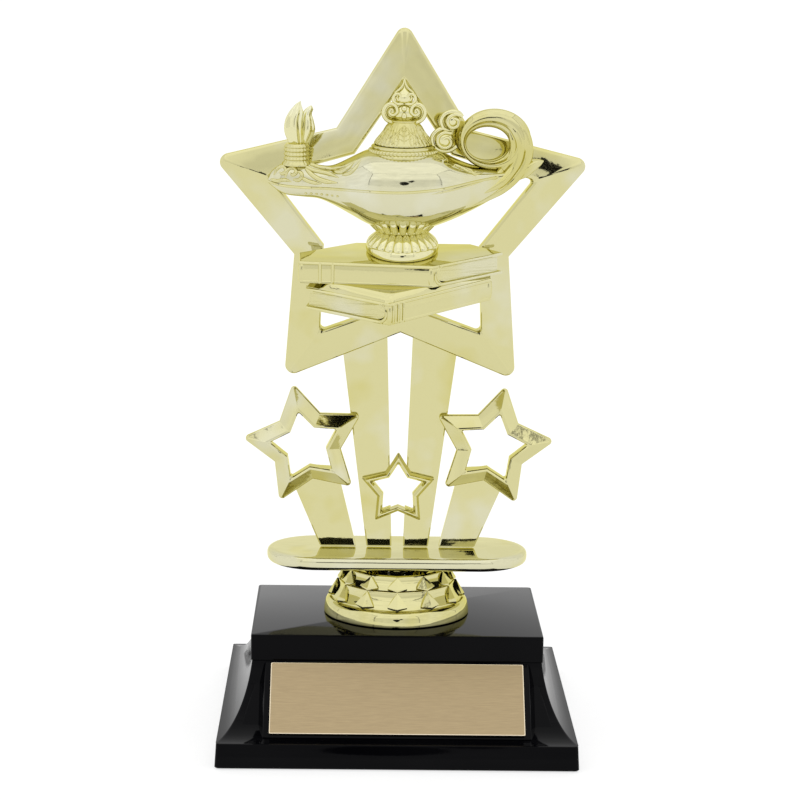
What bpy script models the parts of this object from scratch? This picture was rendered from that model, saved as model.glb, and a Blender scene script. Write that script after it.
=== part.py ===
"""Star trophy: moulded base with nameplate, faceted riser, and a plated figure of stars, lamp and books.

Origin at the centre of the underside, +Z up, front towards -Y, metres. Lengths below are in
millimetres times MM. The figure can be turned by hand about the rod, which is the Z axis.
"""

import math

import bmesh
import bpy
from mathutils import Matrix, Vector

MM = 0.001
GAP = 0.3  # clearance left between neighbouring pieces
FILM = 0.1  # clearance on either side of the adhesive tape

# Base
SLAB_HALF = 51.3
SLAB_TOP = 7.4
SLAB_DRAFT = 0.4
BLOCK_HALF_X, BLOCK_HALF_Y = 42.1, 28.5
BLOCK_BOTTOM, BASE_TOP = 25.2, 32.8
BLOCK_STEP = 0.7
COVE_START = 15.0  # the concave sides start this many degrees off the vertical
WALL = 2.5
ROD_RADIUS, ROD_TIP = 2.5, 0.6
ROD_BOTTOM, ROD_TOP = 21.0, 50.6
FELT_THICK = 1.0

# Riser and oval plate
RISER_BOTTOM, RISER_TOP = BASE_TOP + GAP, 46.6
PLATE_BOTTOM, PLATE_TOP = 48.2, 52.2
PLATE_HALF_LENGTH, PLATE_HALF_DEPTH = 38.5, 15.0

# Figure: the stars stand in front of the rays, the books and the lamp in front of the star
RAY_BACK, RAY_FRONT, RAY_EDGE = 1.2, -1.2, 0.4
STAR_BACK = RAY_FRONT - GAP
MAIN_CREST = -6.0
RELIEF_BACK = MAIN_CREST - GAP
LAMP_Y = -12.0
BOOK_RAKE = 0.24  # level surfaces of the books fall towards the front
LOWER_BOOK_RAKE = 0.33
BOOK_TOP = 142.3
# The lamp's level surfaces fall by a share that changes with their height
LAMP_RAKE = [(143.0, 0.24), (148.5, 0.02), (154.0, 0.03), (160.0, 0.09), (172.0, 0.06)]

MAIN_STAR = (0.0, 149.8)
SIDE_STAR = (27.3, 83.4)
SIDE_STAR_ROLL = 12.0
CENTRE_STAR = (0.0, 70.0)

for old in list(bpy.data.objects):
    bpy.data.objects.remove(old, do_unlink=True)

parts = bpy.data.collections.new("star_trophy")
cutters = bpy.data.collections.new("cutters")
bpy.context.scene.collection.children.link(parts)
bpy.context.scene.collection.children.link(cutters)


def material(name, colour, roughness, metallic, coat=0.0):
    made = bpy.data.materials.new(name)
    made.use_nodes = True
    made.diffuse_color = (*colour, 1.0)
    shader = made.node_tree.nodes["Principled BSDF"]
    shader.inputs["Base Color"].default_value = (*colour, 1.0)
    shader.inputs["Roughness"].default_value = roughness
    shader.inputs["Metallic"].default_value = metallic
    shader.inputs["Coat Weight"].default_value = coat
    return made


GOLD = (0.69, 0.65, 0.36)
BLACK = (0.006, 0.006, 0.007)
BRASS = (0.48, 0.36, 0.20)
STEEL = (0.55, 0.56, 0.58)
FINISHES = {
    "gold": (GOLD, 0.10, 1.0),
    "gold_texture": (GOLD, 0.22, 1.0),
    "black": (BLACK, 0.08, 0.0),
    "brass": (BRASS, 0.38, 1.0),
    "steel": (STEEL, 0.35, 1.0),
    "felt": ((0.02, 0.02, 0.02), 0.95, 0.0),
    "iron": ((0.12, 0.12, 0.12), 0.7, 1.0),
    "tape": ((0.85, 0.85, 0.82), 0.8, 0.0),
}


def node(name, mesh, finish):
    """A part with a material of its own."""
    made = bpy.data.objects.new(name, mesh)
    parts.objects.link(made)
    made.data.materials.append(material(name + "_finish", *FINISHES[finish]))
    return made


def tool(mesh):
    """A shape that only cuts or joins another one."""
    made = bpy.data.objects.new("shape", mesh)
    cutters.objects.link(made)
    made.hide_render = True
    made.display_type = "WIRE"
    return made


def combine(target, meshes, operation):
    for mesh in meshes:
        step = target.modifiers.new(operation.lower(), "BOOLEAN")
        step.operation = operation
        step.solver = "EXACT"
        step.object = tool(mesh)
    return target


def finished(bm, name):
    """The bmesh as a mesh, with its seams welded and its faces turned outwards."""
    bmesh.ops.remove_doubles(bm, verts=bm.verts, dist=1e-7)
    bmesh.ops.recalc_face_normals(bm, faces=bm.faces)
    mesh = bpy.data.meshes.new(name)
    bm.to_mesh(mesh)
    bm.free()
    return mesh


def made_solid(source, flat_caps=False):
    """The mesh a curve or a modifier makes, in place of the object that made it."""
    cutters.objects.link(source)
    bpy.context.view_layer.update()
    drawn = source.evaluated_get(bpy.context.evaluated_depsgraph_get())
    mesh = bpy.data.meshes.new_from_object(drawn)
    mesh.transform(source.matrix_world)
    bpy.data.objects.remove(source, do_unlink=True)
    bm = bmesh.new()
    bm.from_mesh(mesh)
    bmesh.ops.remove_doubles(bm, verts=bm.verts, dist=1e-7)
    if flat_caps:
        bmesh.ops.dissolve_limit(bm, angle_limit=0.001, verts=bm.verts, edges=bm.edges)
    return finished(bm, "solid")


def loft(rings, closed=False):
    """A skin over rings of points in mm: capped at both ends, or joined end to start."""
    bm = bmesh.new()
    rows = [[bm.verts.new(Vector(p) * MM) for p in ring] for ring in rings]
    count = len(rows[0])
    pairs = list(zip(rows, rows[1:])) + ([(rows[-1], rows[0])] if closed else [])
    for low, high in pairs:
        for i in range(count):
            j = (i + 1) % count
            bm.faces.new((low[i], low[j], high[j], high[i]))
    if not closed:
        bm.faces.new(rows[0])
        bm.faces.new(rows[-1])
    return finished(bm, "skin")


def rectangle(half_x, half_y, z):
    return [(-half_x, -half_y, z), (half_x, -half_y, z), (half_x, half_y, z), (-half_x, half_y, z)]


def box(x0, x1, y0, y1, z0, z1):
    bm = bmesh.new()
    centre = Vector((x0 + x1, y0 + y1, z0 + z1)) * MM / 2
    size = Vector((x1 - x0, y1 - y0, z1 - z0)) * MM
    bmesh.ops.create_cube(bm, size=1.0, matrix=Matrix.LocRotScale(centre, None, size))
    return finished(bm, "box")


def cylinder(radius, z0, z1, count=40, x=0.0, y=0.0):
    bm = bmesh.new()
    place = Matrix.Translation(Vector((x, y, (z0 + z1) / 2)) * MM)
    bmesh.ops.create_cone(bm, cap_ends=True, segments=count, radius1=radius * MM, radius2=radius * MM,
                          depth=(z1 - z0) * MM, matrix=place)
    return finished(bm, "cylinder")


def ball(x, y, z, rx, ry, rz, segments=20):
    bm = bmesh.new()
    place = Matrix.LocRotScale(Vector((x, y, z)) * MM, None, Vector((rx, ry, rz)) * MM)
    bmesh.ops.create_uvsphere(bm, u_segments=segments, v_segments=segments // 2, radius=1.0, matrix=place)
    return finished(bm, "ball")


def turned(profile, count, x=0.0, y=0.0, closed=False):
    """A body turned about a vertical axis; the profile is (radius, height) pairs from the bottom up."""
    line = list(profile) if closed else [(0.0, profile[0][1]), *profile, (0.0, profile[-1][1])]
    corners = len(line)
    edges = [(i, (i + 1) % corners) for i in range(corners if closed else corners - 1)]
    outline = bpy.data.meshes.new("profile")
    outline.from_pydata([(r * MM, 0.0, z * MM) for r, z in line], edges, [])
    source = bpy.data.objects.new("profile", outline)
    source.location = (x * MM, y * MM, 0.0)
    screw = source.modifiers.new("turn", "SCREW")
    screw.steps = screw.render_steps = count
    screw.use_merge_vertices = True
    screw.merge_threshold = 1e-5
    return made_solid(source)


def drawn_curve(points, dimensions):
    """A curve through points in mm, each with a radius as its fourth number."""
    curve = bpy.data.curves.new("line", "CURVE")
    curve.dimensions = dimensions
    spline = curve.splines.new("POLY")
    spline.points.add(len(points) - 1)
    for point, (x, y, z, radius) in zip(spline.points, points):
        point.co = (x * MM, y * MM, z * MM, 1.0)
        point.radius = radius
    return curve


def slab(outline, z0, z1):
    """A flat outline of (x, y) points, run from z0 to z1."""
    curve = drawn_curve([(x, y, 0.0, 1.0) for x, y in outline], "2D")
    curve.splines[0].use_cyclic_u = True
    curve.fill_mode = "BOTH"
    curve.extrude = (z1 - z0) / 2 * MM
    source = bpy.data.objects.new("outline", curve)
    source.location.z = (z0 + z1) / 2 * MM
    return made_solid(source, flat_caps=True)


def upright_slab(outline, y0, y1):
    """An outline of (x, z) points, run from y0 to y1."""
    mesh = slab(outline, -y1, -y0)
    mesh.transform(Matrix.Rotation(math.pi / 2, 4, "X"))
    return mesh


def tube(points, rounding=3):
    """A round bar through (x, y, z, radius) points."""
    curve = drawn_curve(points, "3D")
    curve.bevel_depth = MM
    curve.bevel_resolution = rounding
    curve.use_fill_caps = True
    return made_solid(bpy.data.objects.new("bar", curve))


def raked(mesh, slope, about):
    """The same mesh with its level surfaces falling towards the front."""
    for vertex in mesh.vertices:
        vertex.co.z += slope * (vertex.co.y - about * MM)
    return mesh


def lamp_slope(z):
    heights, slopes = zip(*LAMP_RAKE)
    for low, high, start, end in zip(heights, heights[1:], slopes, slopes[1:]):
        if z < high:
            return start + (end - start) * max(0.0, z - low) / (high - low)
    return slopes[-1]


def leaned(mesh):
    """The same mesh with the lamp's own fall towards the front."""
    for vertex in mesh.vertices:
        vertex.co.z += lamp_slope(vertex.co.z / MM) * (vertex.co.y - LAMP_Y * MM)
    return mesh


# ---------------------------------------------------------------- base

def cove_rings(top_x, top_y, rise, grow, steps):
    """Rectangles down the concave sides, from under the block to the slab; grow thins them inwards."""
    rings = []
    start = math.radians(COVE_START)
    for i in range(steps + 1):
        turn = start + (math.pi / 2 - start) * i / steps
        drop = (math.sin(turn) - math.sin(start)) / (1.0 - math.sin(start))
        side_x = SLAB_HALF - (SLAB_HALF - top_x + grow) * math.cos(turn)
        side_y = SLAB_HALF - (SLAB_HALF - top_y + grow) * math.cos(turn)
        rings.append((side_x, side_y, BLOCK_BOTTOM - (rise + grow) * drop))
    return rings


RISE = BLOCK_BOTTOM - SLAB_TOP
PAD_TOP, PAD_BOTTOM = (-29.2, 25.1), (-46.9, 8.1)  # (y, z) ends of the sloping face
PAD_HALF, PAD_FLARE, PAD_DEPTH = 37.7, 3.6, 6.5
NAMEPLATE_HALF, NAMEPLATE_HEIGHT = 36.2, 23.0


def pad_frame():
    """Directions down the sloping face and out of it, as (y, z), and the length of the face."""
    down = Vector((PAD_BOTTOM[0] - PAD_TOP[0], PAD_BOTTOM[1] - PAD_TOP[1]))
    length = down.length
    down.normalize()
    return down, Vector((down.y, -down.x)), length


def pad_slab(half, start, end, low, high, flare=0.0):
    """A slab on the sloping face, between two distances down it and two out of it."""
    down, normal, _ = pad_frame()
    bm = bmesh.new()
    bmesh.ops.create_cube(bm, size=1.0)
    for vertex in bm.verts:
        side = half + (flare if vertex.co.z < 0 else 0.0)
        distance = start if vertex.co.y < 0 else end
        out = low if vertex.co.z < 0 else high
        y, z = Vector(PAD_TOP) + down * distance + normal * out
        vertex.co = Vector((math.copysign(side, vertex.co.x), y, z)) * MM
    return finished(bm, "pad")


def base_shell():
    top = [(BLOCK_HALF_X - 0.3, BLOCK_HALF_Y - 0.3, BASE_TOP), (BLOCK_HALF_X, BLOCK_HALF_Y, BASE_TOP - 0.3),
           (BLOCK_HALF_X, BLOCK_HALF_Y, BLOCK_BOTTOM)]
    coves = cove_rings(BLOCK_HALF_X - BLOCK_STEP, BLOCK_HALF_Y - BLOCK_STEP, RISE, 0.0, 10)
    slab = [(SLAB_HALF - SLAB_DRAFT + 0.2, SLAB_HALF - SLAB_DRAFT + 0.2, SLAB_TOP - 0.2),
            (SLAB_HALF, SLAB_HALF, GAP)]
    coves[-1] = (SLAB_HALF - SLAB_DRAFT, SLAB_HALF - SLAB_DRAFT, SLAB_TOP)
    shell = node("base_shell", loft([rectangle(*ring) for ring in top + coves + slab]), "black")
    inside = [(BLOCK_HALF_X - WALL - 0.5, BLOCK_HALF_Y - WALL - 0.5, BASE_TOP - 3.0)]
    inside += cove_rings(BLOCK_HALF_X - 0.5, BLOCK_HALF_Y - 0.5, RISE, WALL, 8)[:-2]
    inside += [(46.0, 46.0, 5.2), (46.0, 46.0, FELT_THICK + GAP)]
    cavity = loft([rectangle(*ring) for ring in inside])
    recess = box(-48.6, 48.6, -48.6, 48.6, -1.0, FELT_THICK + GAP + 0.01)
    rod_hole = cylinder(3.3, 28.0, 34.0, 32)
    pad = pad_slab(PAD_HALF, 0.0, pad_frame()[2], -PAD_DEPTH, 0.0, PAD_FLARE)
    combine(shell, [pad], "UNION")
    combine(shell, [cavity, recess, rod_hole], "DIFFERENCE")


def hex_nut(name, z0, z1):
    nut = node(name, cylinder(4.62, z0, z1, 6), "steel")
    combine(nut, [cylinder(ROD_RADIUS + GAP, z0 - 1.0, z1 + 1.0, 24)], "DIFFERENCE")


def base_inside():
    felt = node("bottom_felt", box(-48.3, 48.3, -48.3, 48.3, 0.0, FELT_THICK), "felt")
    combine(felt, [cylinder(13.0, -1.0, 3.0)], "DIFFERENCE")
    ballast = node("ballast_weight", box(-40.0, 40.0, -32.0, 32.0, FELT_THICK + GAP, 6.3), "iron")
    combine(ballast, [cylinder(11.0, -1.0, 14.0)], "DIFFERENCE")
    roof = BASE_TOP - 3.0
    washer = [(ROD_RADIUS + GAP, roof - GAP), (9.0, roof - GAP), (9.0, roof - GAP - 1.2),
              (ROD_RADIUS + GAP, roof - GAP - 1.2)]
    node("rod_washer", turned(washer, 40, closed=True), "steel")
    nut_top = roof - GAP - 1.2 - GAP
    hex_nut("base_nut", nut_top - 4.0, nut_top)
    rod = [(ROD_RADIUS - ROD_TIP, ROD_BOTTOM), (ROD_RADIUS, ROD_BOTTOM + ROD_TIP),
           (ROD_RADIUS, ROD_TOP - ROD_TIP), (ROD_RADIUS - ROD_TIP, ROD_TOP)]
    node("threaded_rod", turned(rod, 24), "steel")


def nameplate():
    _, _, length = pad_frame()
    start = (length - NAMEPLATE_HEIGHT) / 2
    end = start + NAMEPLATE_HEIGHT
    tape = pad_slab(NAMEPLATE_HALF - 1.0, start + 1.0, end - 1.0, FILM, FILM + 0.25)
    node("nameplate_tape", tape, "tape")
    low = 2 * FILM + 0.25
    plate = node("nameplate", pad_slab(NAMEPLATE_HALF, start, end, low, low + 0.5), "brass")
    edge = plate.modifiers.new("edge", "BEVEL")
    edge.width = 0.12 * MM
    edge.segments = 1


# ---------------------------------------------------------------- riser and plate

RISER_PANELS = 12


def studded_ring(radius, z, proud):
    """Four points a panel, of which the third is the stud between two panels."""
    ring = []
    for i in range(RISER_PANELS * 4):
        angle = math.pi / 2 + 2 * math.pi * (i - 2) / (RISER_PANELS * 4)
        r = radius + (proud if i % 4 == 2 else 0.0)
        ring.append((r * math.cos(angle), r * math.sin(angle), z))
    return ring


def riser():
    """Steps up the outside: radius, height, how proud the studs stand."""
    steps = [
        (4.0, RISER_BOTTOM, 0.0), (21.2, RISER_BOTTOM, 0.0), (21.5, RISER_BOTTOM + 0.2, 0.0),
        (21.3, 35.4, 0.0), (21.0, 36.4, 0.0), (20.4, 37.2, 0.0), (19.6, 37.6, 0.0), (19.4, 38.2, 0.4),
        (19.3, 38.9, 0.9), (17.4, 42.4, 0.0), (17.1, 42.8, 0.0), (16.8, 43.2, 0.4), (16.7, 43.9, 0.8),
        (15.2, 46.3, 0.0), (14.6, RISER_TOP, 0.0), (13.2, RISER_TOP, 0.0), (12.8, 44.8, 0.0),
        (9.6, 44.8, 0.0), (9.4, RISER_TOP, 0.0), (4.0, RISER_TOP, 0.0)]
    node("riser", loft([studded_ring(*step) for step in steps], closed=True), "gold")


def stadium(half_length, half_depth, z, arc=14):
    straight = half_length - half_depth
    ring = []
    for side, first in ((1, -90.0), (-1, 90.0)):
        for i in range(arc + 1):
            turn = math.radians(first + 180.0 * i / arc)
            ring.append((side * straight + half_depth * math.cos(turn), half_depth * math.sin(turn), z))
    return ring


def oval_plate():
    edge = [(1.6, 0.0), (0.6, 0.35), (0.0, 1.4), (0.0, 2.6), (0.6, 3.65), (1.6, 4.0)]
    rings = [stadium(PLATE_HALF_LENGTH - inset, PLATE_HALF_DEPTH - inset, PLATE_BOTTOM + up)
             for inset, up in edge]
    plate = node("oval_plate", loft(rings), "gold")
    boss_bottom = RISER_TOP + GAP
    combine(plate, [cylinder(9.2, boss_bottom, PLATE_BOTTOM + 1.0)], "UNION")
    combine(plate, [cylinder(5.0, boss_bottom - 1.0, 51.2, 6)], "DIFFERENCE")
    hex_nut("captive_nut", boss_bottom, boss_bottom + 4.0)


# ---------------------------------------------------------------- rays and stars

def star_ring(centre, tip, notch, round_tip, y, roll=0.0, arc=5):
    """A five-pointed outline with rounded tips, seen from the front."""
    cx, cz = centre
    ring = []
    slant = math.atan2(notch * math.sin(math.radians(36)), tip - notch * math.cos(math.radians(36)))
    back = round_tip / math.sin(slant)
    for k in range(5):
        axis = math.radians(90 + roll + 72 * k)
        hub = tip - back
        for i in range(arc):
            turn = axis + (math.pi / 2 - slant) * (2 * i / (arc - 1) - 1)
            ring.append((cx + hub * math.cos(axis) + round_tip * math.cos(turn), y,
                         cz + hub * math.sin(axis) + round_tip * math.sin(turn)))
        between = axis + math.radians(36)
        ring.append((cx + notch * math.cos(between), y, cz + notch * math.sin(between)))
    return ring


def star_frame(name, centre, steps, roll=0.0):
    """A hollow star: steps are (tip, notch, rounding, y) outlines round the section."""
    rings = [star_ring(centre, tip, notch, rounding, y, roll) for tip, notch, rounding, y in steps]
    return node(name, loft(rings, closed=True), "gold")


def stars():
    star_frame("main_star", MAIN_STAR, [
        (56.6, 32.0, 2.2, STAR_BACK), (57.3, 32.6, 2.5, STAR_BACK - 0.6), (57.3, 32.6, 2.5, -4.1),
        (55.9, 31.8, 2.0, -4.9), (41.8, 24.9, 1.6, MAIN_CREST), (40.2, 24.0, 1.4, MAIN_CREST + 0.3),
        (39.6, 23.6, 1.2, -4.8), (39.6, 23.6, 1.2, STAR_BACK)])
    side = [(18.3, 10.1, 0.9, STAR_BACK), (18.7, 10.4, 1.1, STAR_BACK - 0.5), (18.7, 10.4, 1.1, -2.9),
            (17.7, 9.9, 0.7, -3.5), (11.8, 6.9, 0.6, -5.8), (10.9, 6.4, 0.6, -5.7),
            (10.3, 6.0, 0.5, -5.2), (10.3, 6.0, 0.5, STAR_BACK)]
    for name, sign in (("side_star_left", -1), ("side_star_right", 1)):
        star_frame(name, (sign * SIDE_STAR[0], SIDE_STAR[1]), side, -sign * SIDE_STAR_ROLL)
    star_frame("centre_star", CENTRE_STAR, [
        (11.2, 6.3, 0.3, STAR_BACK), (11.4, 6.4, 0.3, -2.6), (9.6, 5.5, 0.3, -3.9),
        (8.0, 4.6, 0.3, -2.8), (7.8, 4.5, 0.3, STAR_BACK)])


def slab_with_edges(name, outline):
    made = node(name, upright_slab(outline, RAY_FRONT, RAY_BACK), "gold")
    edge = made.modifiers.new("edge", "BEVEL")
    edge.width = RAY_EDGE * MM
    edge.segments = 2
    edge.limit_method = "ANGLE"
    edge.angle_limit = math.radians(30)
    return made


def rays():
    foot = PLATE_TOP + GAP
    inner = [(1.7, foot), (9.1, foot), (17.3, 116.2), (3.9, 121.2)]
    outer = [(12.2, foot), (22.8, foot), (31.2, 72.2), (29.8, 73.8), (25.6, 76.8), (18.1, 76.4)]
    for side, sign in (("left", -1), ("right", 1)):
        ray = slab_with_edges("centre_ray_" + side, [(sign * x, z) for x, z in inner])
        window = [(x, z) for x, _, z in star_ring(CENTRE_STAR, 7.8, 4.5, 0.3, 0.0)]
        combine(ray, [upright_slab(window, RAY_FRONT - 1.0, RAY_BACK + 1.0)], "DIFFERENCE")
        slab_with_edges("outer_ray_" + side, [(sign * x, z) for x, z in outer])


# ---------------------------------------------------------------- books

def plan_block(outline, z0, z1, rake):
    """A plan outline of (x, y) points between two heights, then raked by (slope, about)."""
    return raked(slab(outline, z0, z1), *rake)


def along(a, b, distance, inwards):
    """The point this far from a towards b, moved to the left of that direction."""
    step = Vector((b[0] - a[0], b[1] - a[1])).normalized()
    return (a[0] + step.x * distance - step.y * inwards, a[1] + step.y * distance + step.x * inwards)


UPPER_BOOK = [(-29.0, -21.9), (8.5, -24.5), (28.8, -12.9), (19.8, RELIEF_BACK), (-13.2, RELIEF_BACK),
              (-29.2, -14.6)]
LOWER_BOOK = [(-27.4, -20.6), (-3.6, -30.2), (25.4, -17.0), (24.0, RELIEF_BACK), (-22.0, RELIEF_BACK)]
BOOK_THICK = 6.2
BOARD = 0.9
SPINE = 1.3
BAND_WIDTH, BAND_PROUD = 1.1, 0.45
LOWER_TOP = BOOK_TOP - BOOK_THICK + BOOK_RAKE * (RELIEF_BACK - LAMP_Y) - GAP  # at the back edge


def behind_spine(a, b, depth):
    """A plan outline of everything on the pages' side of a line this deep behind the spine's face."""
    length = (Vector(b) - Vector(a)).length
    return [along(a, b, at, inwards) for at, inwards in (
        (-30.0, depth), (length + 30.0, depth), (length + 30.0, 60.0), (-30.0, 60.0))]


def book(name, outline, spine, top, rake, bands):
    """Boards and spine in one bent cover, open on the other sides, with the page block inside."""
    a, b = outline[spine], outline[spine + 1]
    bottom = top - BOOK_THICK
    cover = node(name + "_cover", plan_block(outline, bottom, top, rake), "gold")
    combine(cover, [plan_block(behind_spine(a, b, SPINE), bottom + BOARD, top - BOARD, rake)], "DIFFERENCE")
    ribs = []
    for at in bands:
        corners = ((at, 0.6), (at, -BAND_PROUD), (at + BAND_WIDTH, -BAND_PROUD), (at + BAND_WIDTH, 0.6))
        rib = [along(a, b, distance, inwards) for distance, inwards in corners]
        ribs.append(plan_block(rib, bottom + 0.02, top - 0.02, rake))
    combine(cover, ribs, "UNION")
    centre = Vector((sum(p[0] for p in outline), sum(p[1] for p in outline))) / len(outline)
    sheet = [tuple(centre + (Vector(p) - centre) * 0.955) for p in outline]
    block = plan_block(sheet, bottom + BOARD + GAP, top - BOARD - GAP, rake)
    pages = node(name + "_pages", block, "gold_texture")
    room = plan_block(behind_spine(a, b, SPINE + GAP), bottom - 3.0, top + 3.0, rake)
    combine(pages, [room], "INTERSECT")


def books():
    book("upper_book", UPPER_BOOK, 0, BOOK_TOP, (BOOK_RAKE, LAMP_Y), (5.2, 8.8))
    book("lower_book", LOWER_BOOK, 1, LOWER_TOP, (LOWER_BOOK_RAKE, RELIEF_BACK), (0.7, 2.5, 4.3))


# ---------------------------------------------------------------- lamp

# Stations along the lamp: x, half depth, height of the rim, underside, top
LAMP_STATIONS = [
    (-38.4, 0.7, 161.8, 161.3, 162.6), (-37.4, 1.7, 161.5, 160.4, 164.4),
    (-35.4, 2.7, 161.1, 158.9, 166.0), (-32.8, 3.4, 160.8, 157.8, 167.2),
    (-28.0, 4.1, 160.6, 157.3, 167.4), (-24.0, 5.0, 160.7, 156.9, 166.3),
    (-20.0, 6.6, 160.9, 155.3, 166.2), (-15.0, 9.2, 161.1, 152.6, 168.4),
    (-10.0, 11.8, 161.2, 149.9, 170.8), (-5.0, 13.4, 161.2, 148.2, 171.4),
    (0.0, 14.0, 161.3, 147.8, 171.5), (5.0, 13.4, 161.6, 148.1, 171.4),
    (10.0, 12.0, 162.0, 149.7, 170.8), (15.0, 9.8, 162.7, 151.7, 168.4),
    (20.0, 7.4, 163.5, 154.2, 166.6), (25.0, 5.2, 164.1, 157.1, 165.9),
    (29.0, 3.2, 164.5, 160.2, 165.6), (31.9, 1.4, 164.4, 162.7, 165.2)]
SECTION_STEPS = 14
UNDERSIDE, TOP = 3, 4
FULLNESS = {UNDERSIDE: 0.95, TOP: 0.68}
NOZZLE_X, NOZZLE_TOP = -30.3, 172.3


def lamp_half(side, grow=0.0):
    """The body below or above its rim, cut flat at the back; grow swells it to leave room round it."""
    stations = list(LAMP_STATIONS)
    if grow:
        first, last = stations[0], stations[-1]
        stations = [(first[0] - grow, *first[1:])] + stations + [(last[0] + grow, *last[1:])]
    away = -1.0 if side == UNDERSIDE else 1.0
    rings = []
    for station in stations:
        x, half, level = station[:3]
        level += away * (GAP / 2 - grow)
        rise = station[side] + away * grow - level
        ring = []
        for i in range(SECTION_STEPS + 1):
            turn = math.pi * i / SECTION_STEPS
            y = LAMP_Y - (half + grow) * math.cos(turn)
            ring.append((x, min(y, RELIEF_BACK + grow), level + rise * math.sin(turn) ** FULLNESS[side]))
        rings.append(ring)
    return leaned(loft(rings))


def flat_backed(name, mesh):
    """A piece of the lamp, flattened where it backs on to the star."""
    made = node(name, leaned(mesh), "gold")
    combine(made, [box(-60.0, 60.0, RELIEF_BACK, 30.0, 100.0, 220.0)], "DIFFERENCE")
    return made


def lamp_body():
    node("lamp_bowl", lamp_half(UNDERSIDE), "gold")
    node("lamp_shoulder", lamp_half(TOP), "gold")
    low = BOOK_TOP + GAP
    foot = flat_backed("lamp_foot", turned([
        (9.7, low), (10.2, low + 0.4), (10.0, low + 0.9), (9.5, low + 1.6), (9.2, low + 2.2),
        (8.7, low + 3.0), (7.8, low + 4.0), (6.9, low + 4.9), (6.4, 147.7), (6.9, 148.1), (6.9, 148.7),
        (7.9, 149.7)], 40, 0.0, LAMP_Y))
    combine(foot, [lamp_half(UNDERSIDE, GAP)], "DIFFERENCE")
    band = flat_backed("lid_band", turned([
        (9.6, 169.2), (10.1, 170.0), (9.8, 170.9), (9.8, 171.8), (8.8, 172.6)], 48, 0.0, LAMP_Y))
    combine(band, [lamp_half(TOP, GAP)], "DIFFERENCE")
    flat_backed("lamp_lid", turned([
        (8.3, 172.9), (8.2, 173.3), (7.5, 174.2), (6.5, 175.4), (5.6, 176.6), (4.8, 177.8), (4.2, 178.7),
        (4.1, 179.2)], 36, 0.0, LAMP_Y))


def flame_tongue(path):
    """A tapering tongue: each step of the path is x, z, radius."""
    return tube([(x, LAMP_Y, z, radius) for x, z, radius in path])


def nozzle_and_flame():
    nozzle = node("wick_nozzle", leaned(turned([
        (4.0, 166.6), (3.6, 167.3), (3.3, 167.8), (3.5, 168.2), (3.2, 168.8), (3.5, 169.4), (3.2, 170.0),
        (3.5, 170.6), (3.2, 171.2), (3.4, 171.7), (3.0, NOZZLE_TOP)], 24, NOZZLE_X, LAMP_Y)), "gold")
    combine(nozzle, [lamp_half(TOP, GAP)], "DIFFERENCE")
    foot = NOZZLE_TOP + GAP
    tall = [(-30.9, foot, 1.9), (-30.9, foot + 0.5, 2.0), (-31.2, 175.2, 2.4), (-31.3, 178.6, 2.3),
            (-30.7, 181.2, 1.8), (-29.9, 183.0, 0.8), (-29.4, 184.2, 0.2)]
    short = [(-28.2, foot, 1.2), (-28.1, foot + 0.5, 1.3), (-27.5, 175.6, 1.9), (-27.3, 178.8, 1.7),
             (-27.2, 180.6, 1.2), (-26.8, 182.0, 0.9), (-26.3, 183.0, 0.2)]
    flame = node("flame", leaned(flame_tongue(tall)), "gold")
    combine(flame, [leaned(flame_tongue(short))], "UNION")


def finials():
    lower = node("finial_lower", leaned(ball(-3.5, LAMP_Y, 182.0, 2.8, 2.7, 2.4)), "gold")
    stem = turned([(3.9, 179.6), (2.9, 180.8), (2.6, 184.0)], 20, 0.0, LAMP_Y)
    combine(lower, [leaned(ball(3.5, LAMP_Y, 182.0, 2.8, 2.7, 2.4)), leaned(stem)], "UNION")
    node("finial_upper", leaned(turned([
        (1.4, 184.4), (2.9, 185.0), (3.2, 186.0), (2.5, 187.4), (1.2, 188.7), (0.5, 189.8), (0.15, 191.1)],
        24, 0.0, LAMP_Y)), "gold")


LOOP_OUTER = (25.9, 174.4, 10.6, 9.0)  # x, z and half sizes of the handle's outer edge
LOOP_HOLE = (23.8, 173.1, 6.1, 4.7)
# Across the handle from the hole (0) to the outer edge (1), and forward of its middle
LOOP_SECTION = [(0.0, -1.0), (0.14, -2.1), (0.3, -1.8), (0.5, -2.7), (0.7, -2.4), (0.86, -2.0), (1.0, -1.0),
                (1.0, 1.0), (0.8, 2.2), (0.5, 2.6), (0.2, 2.2), (0.0, 1.0)]


def ellipse_point(ellipse, turn):
    x, z, half_x, half_z = ellipse
    return Vector((x + half_x * math.cos(turn), z + half_z * math.sin(turn)))


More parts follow.
